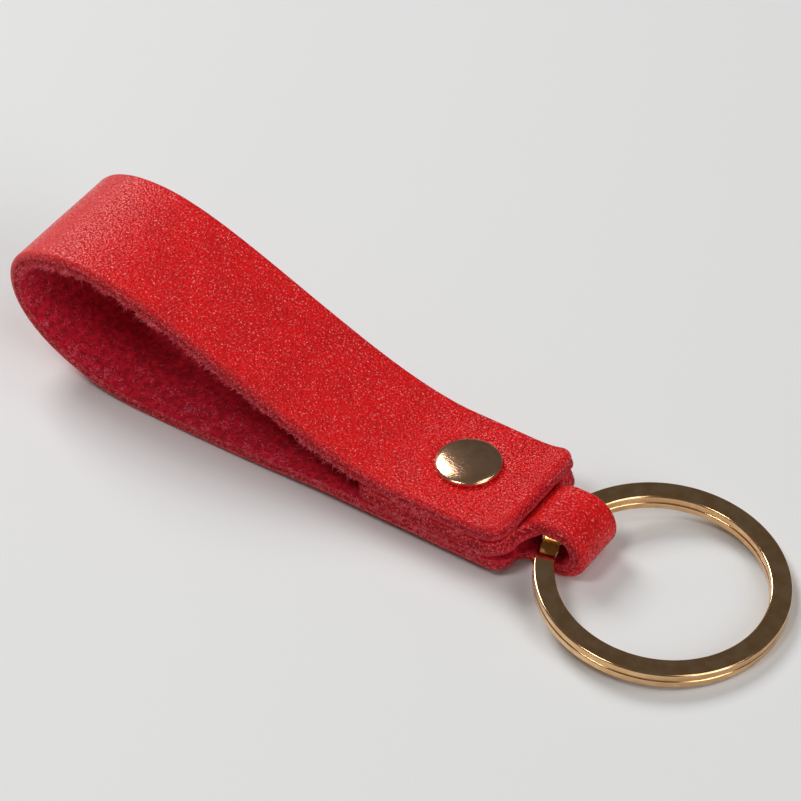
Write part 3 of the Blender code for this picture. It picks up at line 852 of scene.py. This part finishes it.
def mapped_place(tree, name):
    """A mesh's own map, in millimetres."""
    return add_node(tree, "ShaderNodeUVMap", {}, uv_map=name).outputs["UV"]


def object_place(tree):
    """Object coordinates in millimetres."""
    place = add_node(tree, "ShaderNodeTexCoord", {}).outputs["Object"]
    return vector_maths(tree, "SCALE", place, 1 / MM)


def stored(tree, name):
    """A value that the mesh carries."""
    return add_node(tree, "ShaderNodeAttribute", {}, attribute_name=name).outputs["Fac"]


def speckled_red(tree):
    """The colour of a cut edge: pale fibre ends and dark hollows, as fine as the grain."""
    speck = use_group(tree, SPECKS, {"Place": object_place(tree), "Cells": 3.2, "Warp": 0.5})
    red = mix_colour(tree, speck["Crease"], SPECK_RED, SPECK_HOLLOW)
    return mix_colour(tree, speck["Rub"], red, FIBRE_END_PINK)


def grain_leather():
    """Red grain leather: dye, painted shade, glints and sheen in the colour, domes and fine grain in
    the bump.
    """
    material, tree, shader = make_material("red_grain_leather", Specular_IOR_Level=0.19)
    place = mapped_place(tree, "strip")
    grain = use_group(tree, GRAIN, {"Place": place, "Cells": 3.4, "Warp": 0.40})
    cloud = between(tree, noise(tree, place, scale=0.22, detail=4.0), *CLOUDS)
    glint_patch = between(tree, noise(tree, place, scale=0.85, detail=3.0), *GLINT_PATCHES)
    stretch = stored(tree, "stretch")
    # Painted sheen: the red turns paler where the loop's end is stretched, in place of its sheen.
    painted_sheen = times(tree, between(tree, stretch, *FULL_STRETCH), PAINTED_SHEEN_SHARE)
    strength = maths(tree, "SUBTRACT", 1.0, times(tree, stretch, STRETCH_FLATTENS))
    # Painted shade: the creases between the domes are darkened in the colour.
    crease_shade = times(tree, grain["Crease"], times(tree, strength, CREASE_SHADE_SHARE))
    red = mix_colour(tree, cloud, DYE_DEEP, DYE_BRIGHT)
    red = mix_colour(tree, painted_sheen, red, PAINTED_SHEEN_PINK)
    red = mix_colour(tree, crease_shade, red, CREASE_SHADE_RED)
    # Painted glints: pale pink spots on the dome tops, in patches, stand in for highlights.
    red = mix_colour(tree, times(tree, grain["Rub"], glint_patch), red, PAINTED_GLINT_PINK)
    red = mix_colour(tree, stored(tree, "rim"), red, speckled_red(tree))
    rough = times(tree, grain["Crease"], CREASE_ROUGHNESS)
    tree.links.new(maths(tree, "ADD", GRAIN_ROUGHNESS, rough), shader.inputs["Roughness"])
    link_finish(tree, shader, red, times(tree, grain["Height"], strength), GRAIN_BUMP)
    return material


# %% [markdown]
# The flesh side is suede: crimson, with pink fibre tips and dark hollows between the tufts. Its
# sheen is set on the shader itself, since it is the same all over.

# %% Flesh side and cut edge
SUEDE_HOLLOW = (0.34, 0.0016, 0.0074, 1.0)
SUEDE_CRIMSON = (0.74, 0.0095, 0.0320, 1.0)
SUEDE_PINK = (0.95, 0.0600, 0.1200, 1.0)
SHEEN_PINK = (1.00, 0.3500, 0.4200, 1.0)
SUEDE_STRANDS = 0.36
SUEDE_BUMP = 0.14 * MM
EDGE_PINK = (0.86, 0.0600, 0.0800, 1.0)
EDGE_DARK = (0.30, 0.0020, 0.0070, 1.0)
FLESH_DEPTHS_MM = (0.10, 0.95)
EDGE_PINK_SHARE = 0.55
EDGE_STRANDS = 0.30
EDGE_BUMP = 0.26 * MM


def flesh_leather():
    """Crimson suede with a bump of tufts and strands."""
    material, tree, shader = make_material("crimson_suede", Roughness=0.9, Specular_IOR_Level=0.12,
                                           Sheen_Weight=0.10, Sheen_Roughness=0.5,
                                           Sheen_Tint=SHEEN_PINK)
    fibre = use_group(tree, FIBRE, {"Place": mapped_place(tree, "strip"), "Tufts": 1.2, "Strands": 4.4})
    strand = times(tree, fibre["Strand"], SUEDE_STRANDS)
    colour = mix_colour(tree, fibre["Tuft"], SUEDE_HOLLOW, SUEDE_CRIMSON)
    colour = mix_colour(tree, strand, colour, SUEDE_PINK)
    link_finish(tree, shader, colour, fibre["Height"], SUEDE_BUMP)
    return material


def edge_leather():
    """The cut edge: speckled bright and dark red near the grain, with more pink towards the flesh."""
    material, tree, shader = make_material("cut_edge_leather", Roughness=0.7, Specular_IOR_Level=0.22)
    fibre = use_group(tree, FIBRE, {"Place": object_place(tree), "Tufts": 2.4, "Strands": 5.5})
    strand = times(tree, fibre["Strand"], EDGE_STRANDS)
    inner = between(tree, stored(tree, "depth"), *FLESH_DEPTHS_MM)
    colour = mix_colour(tree, times(tree, inner, EDGE_PINK_SHARE), speckled_red(tree), EDGE_PINK)
    colour = mix_colour(tree, strand, colour, EDGE_DARK)
    link_finish(tree, shader, colour, fibre["Height"], EDGE_BUMP)
    return material


strap = add_piece("strap_leather", strap_mesh(), grain_leather(), flesh_leather(), edge_leather())
cut_post_hole(strap)
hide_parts("strap")
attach(strap, "strap_body")
print_triangles(strap)

# %% [markdown]
# Torn fibres stand out all along the strip's cut edge and on its flesh side. They catch the light,
# so they are real shape: thin closed spikes of three sides. A spike's middle line is worked out on
# the flat strip, as run, across and depth, and then bent with the strip, so it always grows from
# the leather. Random places are thinned by the noise, because torn fibres stand in clumps.

# %% Fibres
SPIKE_SHARES = np.array([0.0, 0.45, 0.80, 1.0])
SPIKE_RADIUS_SHARES = np.array([1.0, 0.75, 0.40])
SPIKE_SIDES = 3
SPIKE_ASKEW = np.array([0.31, 0.52, 0.79])
FIBRE_ROOT = 0.08 * MM
FIBRE_CURL = 0.30


def spikes(name, start, reach, curl, radius):
    """Closed spikes along start + reach*t + curl*t^2 in flat coordinates, for t from 0 to 1."""
    t = SPIKE_SHARES[None, :, None]
    flat = start[:, None, :] + reach[:, None, :] * t + curl[:, None, :] * t**2
    middle = bend_strip(flat[..., 0], flat[..., 1], flat[..., 2])
    along = unit(middle[:, -1] - middle[:, 0])
    side = unit(np.cross(along, SPIKE_ASKEW))
    other = np.cross(along, side)
    k = np.arange(SPIKE_SIDES)
    angle = k[:, None] * 2 * math.pi / SPIKE_SIDES
    spoke = side[:, None, :] * np.cos(angle) + other[:, None, :] * np.sin(angle)
    width = radius[:, None] * SPIKE_RADIUS_SHARES
    rings = middle[:, :-1, None, :] + width[:, :, None, None] * spoke[:, None, :, :]
    count = len(start)
    points = np.concatenate([rings.reshape(count, -1, 3), middle[:, -1:, :]], axis=1)
    tip = points.shape[1] - 1
    top = tip - SPIKE_SIDES
    after = (k + 1) % SPIKE_SIDES
    level = np.stack([k, after, after + SPIKE_SIDES, k + SPIKE_SIDES], axis=1)
    quads = np.concatenate([level, level + SPIKE_SIDES])
    caps = np.concatenate([np.stack([top + k, top + after, 0 * k + tip], axis=1), k[None, ::-1]])
    offset = (tip + 1) * np.arange(count)[:, None, None]
    faces = (quads + offset).reshape(-1, 4).tolist() + (caps + offset).reshape(-1, 3).tolist()
    return closed_mesh(name, points.reshape(-1, 3), faces)


# %% [markdown]
# Edge fibres start inside the wall, mostly near the flesh side, and lean out and towards it. Near
# the ring they stay short and keep to the middle of the wall, out of the wire's way.

# %% Fibres of the cut edge
EDGE_FIBRES = 8200
EDGE_FIBRE_LENGTH = (0.18 * MM, 0.80 * MM)
FOLD_FIBRE_SHARE = 0.30
FIBRE_RADIUS = (0.018 * MM, 0.038 * MM)
CLUMP_CELL = 0.8 * MM
TRIES = 3
EDGE_STRAYS = 0.6
EDGE_SEED = 21
FLESH_SIDE_ODDS = (5.0, 1.3)
EDGE_DEPTHS = (-0.10, 0.92)
FOLD_DEPTHS = (-0.20, 0.40)
LEAN_ALONG = 0.75
LEAN_IN = (0.35, 0.50)
LEAN_OUT = (0.5, 1.0)


def edge_fibres():
    """Spikes that lean out of both long edges of the strip."""
    draw = np.random.default_rng(EDGE_SEED)
    run = draw.uniform(END_CORNER, STRIP_LENGTH - END_CORNER, TRIES * EDGE_FIBRES)
    side = np.where(draw.random(len(run)) < 0.5, -1.0, 1.0)
    clump = soft_noise(run, side * STRAP_WIDTH, CLUMP_CELL, seed=11)
    clump += draw.uniform(-EDGE_STRAYS, EDGE_STRAYS, len(run))
    kept = np.argsort(-clump)[:EDGE_FIBRES]
    run, side = np.sort(run[kept]), side[kept]
    in_neck = (run > NECK_START) & (run < TAB_NECK_END)
    towards_flesh = draw.beta(*FLESH_SIDE_ODDS, len(run))
    depth = LEATHER / 2 * np.where(in_neck, np.interp(towards_flesh, (0, 1), FOLD_DEPTHS),
                                   np.interp(towards_flesh, (0, 1), EDGE_DEPTHS))
    length = draw.uniform(*EDGE_FIBRE_LENGTH, len(run)) * np.where(in_neck, FOLD_FIBRE_SHARE, 1.0)
    lean_along = draw.normal(0.0, LEAN_ALONG, len(run))
    lean_in = np.where(in_neck, 0.0, draw.normal(*LEAN_IN, len(run)))
    lean_out = side * draw.uniform(*LEAN_OUT, len(run))
    start = np.stack([run, side * (neck_half_width(run) - FIBRE_ROOT), depth], axis=1)
    reach = unit(np.stack([lean_along, lean_out, lean_in], axis=1)) * length[:, None]
    reach[:, 1] += side * FIBRE_ROOT
    curl = draw.normal(0.0, FIBRE_CURL, (len(run), 3)) * length[:, None]
    curl[:, 2] = np.where(in_neck, 0.0, curl[:, 2])
    return spikes("edge_fibres", start, reach, curl, draw.uniform(*FIBRE_RADIUS, len(run)))


# %% [markdown]
# The nap of the flesh side shows inside the finger loop. Its spikes are thicker and lie down more,
# like the tufts of suede, and they start a little under the surface. They stand closer towards both
# edges, where the die and handling have raised the nap.

# %% Nap inside the finger loop
NAP_FIBRES = 10500
NAP_LENGTH = (0.22 * MM, 0.70 * MM)
NAP_RADIUS = (0.026 * MM, 0.055 * MM)
NAP_START = 6.0 * MM
NAP_EDGE_POWER = 0.40
NAP_SEED = 22
NAP_STRAYS = 0.5
NAP_RISE = (0.35, 0.9)
NAP_FALL = 0.4
FIBRE_CLOUDS = (0.38, 0.62)
EDGE_FIBRE_REDS = ((0.84, 0.034, 0.054, 1.0), (1.00, 0.250, 0.300, 1.0))
NAP_REDS = ((0.92, 0.024, 0.060, 1.0), (1.00, 0.230, 0.340, 1.0))


def suede_nap():
    """Spikes on the flesh side of the finger loop, from one end of its opening to the other."""
    draw = np.random.default_rng(NAP_SEED)
    first = float(path_run[starts["top_curve"]]) + NAP_START
    last = float(path_run[starts["bottom_flat"]]) - NAP_START
    run = draw.uniform(first, last, TRIES * NAP_FIBRES)
    share = draw.uniform(-1.0, 1.0, len(run))
    across = np.sign(share) * np.abs(share) ** NAP_EDGE_POWER * (STRAP_WIDTH / 2 - FIBRE_ROOT)
    clump = soft_noise(run, across, CLUMP_CELL, seed=12)
    clump += draw.uniform(-NAP_STRAYS, NAP_STRAYS, len(run))
    kept = np.sort(np.argsort(-clump)[:NAP_FIBRES])
    run, across = run[kept], across[kept]
    length = draw.uniform(*NAP_LENGTH, len(run))
    start = np.stack([run, across, np.full(len(run), LEATHER / 2 - FIBRE_ROOT)], axis=1)
    reach = unit(np.stack([draw.normal(0.0, 1.0, len(run)), draw.normal(0.0, 1.0, len(run)),
                           draw.uniform(*NAP_RISE, len(run))], axis=1)) * length[:, None]
    reach[:, 2] += FIBRE_ROOT
    curl = draw.normal(0.0, FIBRE_CURL, (len(run), 3)) * length[:, None]
    curl[:, 2] = -NAP_FALL * length
    return spikes("suede_nap", start, reach, curl, draw.uniform(*NAP_RADIUS, len(run)))


def fibre_finish(name, low, high):
    """Plain fibre colour that changes from clump to clump."""
    material, tree, shader = make_material(name, Roughness=0.75, Specular_IOR_Level=0.2)
    clump = between(tree, noise(tree, object_place(tree), scale=2.2, detail=3.0), *FIBRE_CLOUDS)
    tree.links.new(mix_colour(tree, clump, low, high), shader.inputs["Base Color"])
    return material


fibre_pieces = [
    add_piece("edge_fibres", edge_fibres(), fibre_finish("edge_fibre_pink", *EDGE_FIBRE_REDS)),
    add_piece("suede_nap", suede_nap(), fibre_finish("nap_crimson", *NAP_REDS)),
]
for piece in fibre_pieces:
    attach(piece, "strap_body")
    print_triangles(piece)

# %% [markdown]
# The split ring is one flat wire wound two turns. A profile carried along its path makes it: the
# profile is a rectangle with small round corners, and the path is a circle that steps down by
# one wire height inside the fold, where the leather hides most of the crossing. Both ends are
# rounded over by a quarter circle, as the tumbling that polishes the rings leaves them.

# %% The wire's path and profile
RING_OUTER = 15.0 * MM
RING_INNER = 12.5 * MM
WIRE_HEIGHT = 1.0 * MM
TURN_GAP = 0.05 * MM
WIRE_ROUND = 0.22 * MM
FRAME_CORNER = 0.20 * MM
STEP_ANGLE = math.radians(14.0)
STEP_CENTRE = math.radians(200.0)
END_GAP_ANGLE = math.radians(1.0)
WIRE_STEP_ANGLE = math.radians(1.5)
STEP_SECTIONS = 24
CORNER_POINTS = 7
END_SECTIONS = 6
END_ROUND = 0.14 * MM
SUPPORT_GAP = 0.03 * MM

RING_HEIGHT = 2 * WIRE_HEIGHT + TURN_GAP
NEAR_EDGE = math.sqrt(RING_INNER**2 - (WAIST_WIDTH / 2)**2)
PIVOT_RADIUS = (RING_OUTER + NEAR_EDGE) / 2
RIM_REACH = PIVOT_RADIUS + RING_OUTER
RING_TILT = (math.asin(FOLD_Z / math.hypot(RIM_REACH - FRAME_CORNER, RING_HEIGHT / 2))
             - math.atan2(RING_HEIGHT / 2, RIM_REACH - FRAME_CORNER))


def wire_path():
    """Angle and height along the wire: a level turn, a smooth step down, a level turn."""
    turn = 2 * math.pi - STEP_ANGLE - END_GAP_ANGLE
    first = STEP_CENTRE - STEP_ANGLE / 2 - END_GAP_ANGLE
    count = math.ceil(turn / WIRE_STEP_ANGLE)
    even = np.linspace(0.0, 1.0, count + 1)
    rest = np.linspace(0.0, 1.0, STEP_SECTIONS + 1)[1:]
    upper = first - turn * even
    step = upper[-1] - STEP_ANGLE * rest
    angle = np.concatenate([upper, step, step[-1] - turn * even[1:]])
    level = (WIRE_HEIGHT + TURN_GAP) / 2
    height = level * np.concatenate([np.ones(count + 1), 1 - 2 * smooth_step(rest), -np.ones(count)])
    close = END_ROUND / RING_OUTER * (1 - np.cos(quarter_turn(END_SECTIONS)))
    passed = angle[0] - angle
    wanted = np.unique(np.concatenate([passed, close, passed[-1] - close]))
    return angle[0] - wanted, np.interp(wanted, passed, height)


def wire_profile():
    """A rectangle with round corners, counter-clockwise, as pairs of outward and upward offsets."""
    half_size = np.array([RING_OUTER - RING_INNER, WIRE_HEIGHT]) / 2
    quarter = quarter_turn(CORNER_POINTS)
    points = []
    for corner, signs in enumerate([(1, 1), (-1, 1), (-1, -1), (1, -1)]):
        turn = quarter + corner * math.pi / 2
        centre = np.array(signs) * (half_size - WIRE_ROUND)
        points.append(centre + WIRE_ROUND * np.stack([np.cos(turn), np.sin(turn)], axis=1))
    return np.concatenate(points)


def with_support(profile):
    """Extra points beside each corner, so that flat faces stay flat when shaded smooth."""
    result = []
    for point, following in zip(profile, np.roll(profile, -1, axis=0)):
        result.append(point)
        length = np.linalg.norm(following - point)
        if length > WIRE_ROUND / 2:
            near = SUPPORT_GAP / length * (following - point)
            result.extend([point + near, following - near])
    return np.array(result)


def ring_points():
    """Every section of the wire in the world: round the ring's centre, then tilted about the hinge."""
    angle, height = wire_path()
    profile = with_support(wire_profile())
    middle = (RING_OUTER + RING_INNER) / 2
    run = (angle[0] - angle) * middle
    inset = roll_over(np.minimum(run, run[-1] - run), END_ROUND, END_ROUND)[:, None, None]
    offsets = np.sign(profile) * np.maximum(np.abs(profile) - inset, 0.0)
    radius = middle + offsets[..., 0]
    x = PIVOT_RADIUS + radius * np.cos(angle)[:, None]
    y = radius * np.sin(angle)[:, None]
    z = height[:, None] + offsets[..., 1]
    world_x = hinge.x + x * math.cos(RING_TILT) + z * math.sin(RING_TILT)
    world_z = hinge.z - x * math.sin(RING_TILT) + z * math.cos(RING_TILT)
    return np.stack([world_x, y, world_z], axis=-1), run, profile


print("ring tilt in degrees:", round(math.degrees(RING_TILT), 2))

# %% [markdown]
# The ring is a tube through those sections, with a fan at each end. Its map runs along the wire
# and round it, so that fine scratches can follow the wire.

# %% Build the ring
def ring_mesh():
    """The whole wire as one tube, with a map of the run along it and the girth round it."""
    sections, run, profile = ring_points()
    mesh = capped_tube("split_ring_wire", sections, sections[[0, -1]].mean(axis=1))
    girth = np.tile(running_length(profile), len(run))
    add_map(mesh, "wire", np.append(np.repeat(run, len(profile)), run[[0, -1]]),
            np.append(girth, [0.0, 0.0]))
    return mesh


# %% [markdown]
# Both metals are thin gold-coloured plating over polished steel or brass. A mirror would look
# computed, so the group adds what handling leaves: fine scratches along the piece, a cloudy
# change of polish and a few small marks, all of it only in roughness, colour and bump.

# %% Polished plating group
SCRATCHES = (0.60, 0.74)
CLOUD_ROUGHNESS = 0.06
SCRATCH_ROUGHNESS = 0.07
SCRATCH_STRENGTH = 0.5
RING_GOLDS = ((0.86, 0.57, 0.31, 1.0), (0.74, 0.44, 0.21, 1.0))
RING_STREAKS = (0.35, 8.0, 1.0)
RING_POLISH = 0.10
RING_SCRATCH = 0.0025 * MM


def plating_group():
    """Roughness and tint from clouds, and a height of fine scratches drawn out by the streaks."""
    tree, given = open_group("worn_plating", Place=VECTOR, Streaks=VECTOR, Polish=FLOAT)
    stretched = vector_maths(tree, "MULTIPLY", given["Place"], given["Streaks"])
    streak = noise(tree, stretched, scale=1.0, detail=4.0, roughness=0.65)
    cloud = noise(tree, given["Place"], scale=0.55, detail=3.0)
    marks = between(tree, streak, *SCRATCHES)
    rough = maths(tree, "ADD", given["Polish"], times(tree, cloud, CLOUD_ROUGHNESS))
    rough = maths(tree, "ADD", rough, times(tree, marks, SCRATCH_ROUGHNESS))
    return close_group(tree, Roughness=rough, Height=streak, Cloud=cloud)


PLATING = plating_group()


def plated_metal(name, colours, streaks, polish, scratch, map_name=None):
    """Gold plating in two near colours, on the named map or else on object coordinates."""
    material, tree, shader = make_material(name, Metallic=1.0)
    place = mapped_place(tree, map_name) if map_name else object_place(tree)
    plating = use_group(tree, PLATING, {"Place": place, "Streaks": streaks, "Polish": polish})
    colour = mix_colour(tree, between(tree, plating["Cloud"], *CLOUDS), *colours)
    tree.links.new(plating["Roughness"], shader.inputs["Roughness"])
    link_finish(tree, shader, colour, plating["Height"], scratch, SCRATCH_STRENGTH)
    return material


ring_gold = plated_metal("ring_gold", RING_GOLDS, RING_STREAKS, RING_POLISH, RING_SCRATCH, "wire")
ring = add_piece("split_ring_wire", ring_mesh(), ring_gold)
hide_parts("split_ring")
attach(ring, "ring")
print_triangles(ring)

# %% [markdown]
# The rivet's caps are thin stampings. The dome is half an ellipse, the wall below it is short,
# and the foot is rolled in. Only the outside shows, but the shell is hollow as the real one is,
# so that its flange and post have room.

# %% The rivet's two caps
CAP_DOME_SHARE = 0.60 / 1.10
CAP_SHEET = 0.22 * MM
CAP_LIP = 0.80 * MM
CAP_SIDES = 96
DOME_POINTS = 22
ROLL_POINTS = 6
CAP_GOLDS = ((0.88, 0.54, 0.33, 1.0), (0.72, 0.42, 0.26, 1.0))
CAP_STREAKS = (1.3, 4.2, 1.0)
CAP_POLISH = 0.13
CAP_SCRATCH = 0.032 * MM
POST_GOLDS = ((0.74, 0.55, 0.34, 1.0), (0.66, 0.46, 0.26, 1.0))
POST_STREAKS = (1.0, 1.0, 6.0)
POST_POLISH = 0.25
POST_SCRATCH = 0.004 * MM


def cap_profile(base, direction):
    """Dome (R sin a, wall + D cos a), a foot rolled in by a quarter circle, and the same inside."""
    turn = quarter_turn(DOME_POINTS)
    quarter = quarter_turn(ROLL_POINTS)
    dome = CAP_DOME_SHARE * CAP_HEIGHT
    wall_top = CAP_HEIGHT - dome
    inside = CAP_RADIUS - CAP_SHEET
    hole = CAP_RADIUS - CAP_LIP
    outer = np.stack([CAP_RADIUS * np.sin(turn), wall_top + dome * np.cos(turn)], axis=1)
    roll = np.stack([inside + CAP_SHEET * np.cos(quarter), CAP_SHEET * (1 - np.sin(quarter))], axis=1)
    lip = np.array([(hole, 0.0), (hole, CAP_SHEET), (inside, CAP_SHEET)])
    inner = np.stack([inside * np.sin(turn), wall_top + (dome - CAP_SHEET) * np.cos(turn)], axis=1)
    profile = np.concatenate([outer, roll, lip, inner[::-1]])
    profile[:, 1] = base + direction * profile[:, 1]
    return profile


cap_gold = plated_metal("cap_gold", CAP_GOLDS, CAP_STREAKS, CAP_POLISH, CAP_SCRATCH)
post_gold = plated_metal("post_gold", POST_GOLDS, POST_STREAKS, POST_POLISH, POST_SCRATCH)
caps = {"rivet_top_cap": ("rivet_top_dome", cap_profile(cap_low.z, 1)),
        "rivet_bottom_cap": ("rivet_bottom_dome", cap_profile(base_high.z, -1))}
for node, (name, profile) in caps.items():
    dome = add_piece(name, turned_mesh(name, profile, CAP_SIDES), cap_gold)
    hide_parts(node)
    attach(dome, "strap_body")
for node in ("rivet_socket", "rivet_stud"):
    frame["nodes"][node].data.materials.clear()
    frame["nodes"][node].data.materials.append(post_gold)

# %% [markdown]
# The floor is one large plain square. It is pale, because the metal mirrors it and the leather
# takes its bounce, and it is large enough to fill the view from any side.

# %% Floor
FLOOR_SIZE = 3.0
FLOOR_COLOUR = (0.73, 0.735, 0.73, 1.0)
FLOOR_ROUGHNESS = 0.55
FLOOR_SPECULAR = 0.25


def add_floor():
    """A large flat square at z = 0, where the table is."""
    half = FLOOR_SIZE / 2
    corners = [(-half, -half, 0.0), (half, -half, 0.0), (half, half, 0.0), (-half, half, 0.0)]
    mesh = bpy.data.meshes.new("floor")
    mesh.from_pydata(corners, [], [(0, 1, 2, 3)])
    material, tree, shader = make_material("floor", Base_Color=FLOOR_COLOUR, Roughness=FLOOR_ROUGHNESS,
                                           Specular_IOR_Level=FLOOR_SPECULAR)
    add_piece("floor", mesh, material)


add_floor()

# %% [markdown]
# The light is a product photographer's. A large soft window stands behind on the left, and gives
# the leather its grain. One box high on the right lights the cap's lower rim, one low on the right
# lights the fold, and one at the front left lets light into the loop and onto the cut edge. Nothing
# stands straight behind the object, because the flat faces of the ring and the cap mirror that
# side, and they are a deep bronze in the picture.

# %% Lights and world
# Each light: name, bearing and elevation in degrees, distance and size in metres, strength.
LIGHTS = [
    ("window", 160.0, 45.0, 0.9, 0.38, 0.44),
    ("right_top", 28.0, 63.0, 0.9, 0.34, 0.11),
    ("right_low", -12.0, 30.0, 1.0, 0.50, 0.18),
    ("front_top", 250.0, 64.0, 1.0, 0.24, 0.20),
]
WORLD_COLOUR = (1.0, 0.97, 0.95, 1.0)
WORLD_STRENGTH = 0.10


def add_soft_light(name, bearing, elevation, distance, size, strength):
    """A square area light that faces the origin. Its strength is what it gives to a white floor."""
    data = bpy.data.lights.new(name, "AREA")
    data.shape = "SQUARE"
    data.size = size
    data.energy = strength * math.pi**2 * distance**2 / math.sin(elevation)
    lamp = bpy.data.objects.new(name, data)
    bpy.context.scene.collection.objects.link(lamp)
    flat = math.cos(elevation)
    direction = Vector((math.cos(bearing) * flat, math.sin(bearing) * flat, math.sin(elevation)))
    lamp.location = direction * distance
    lamp.rotation_mode = "QUATERNION"
    lamp.rotation_quaternion = direction.to_track_quat("Z", "Y")


for name, bearing, elevation, distance, size, strength in LIGHTS:
    add_soft_light(name, math.radians(bearing), math.radians(elevation), distance, size, strength)

world = bpy.data.worlds.new("studio")
bpy.context.scene.world = world
world.use_nodes = True
background = world.node_tree.nodes["Background"]
background.inputs["Color"].default_value = WORLD_COLOUR
background.inputs["Strength"].default_value = WORLD_STRENGTH
bpy.context.scene.view_settings.view_transform = "Standard"
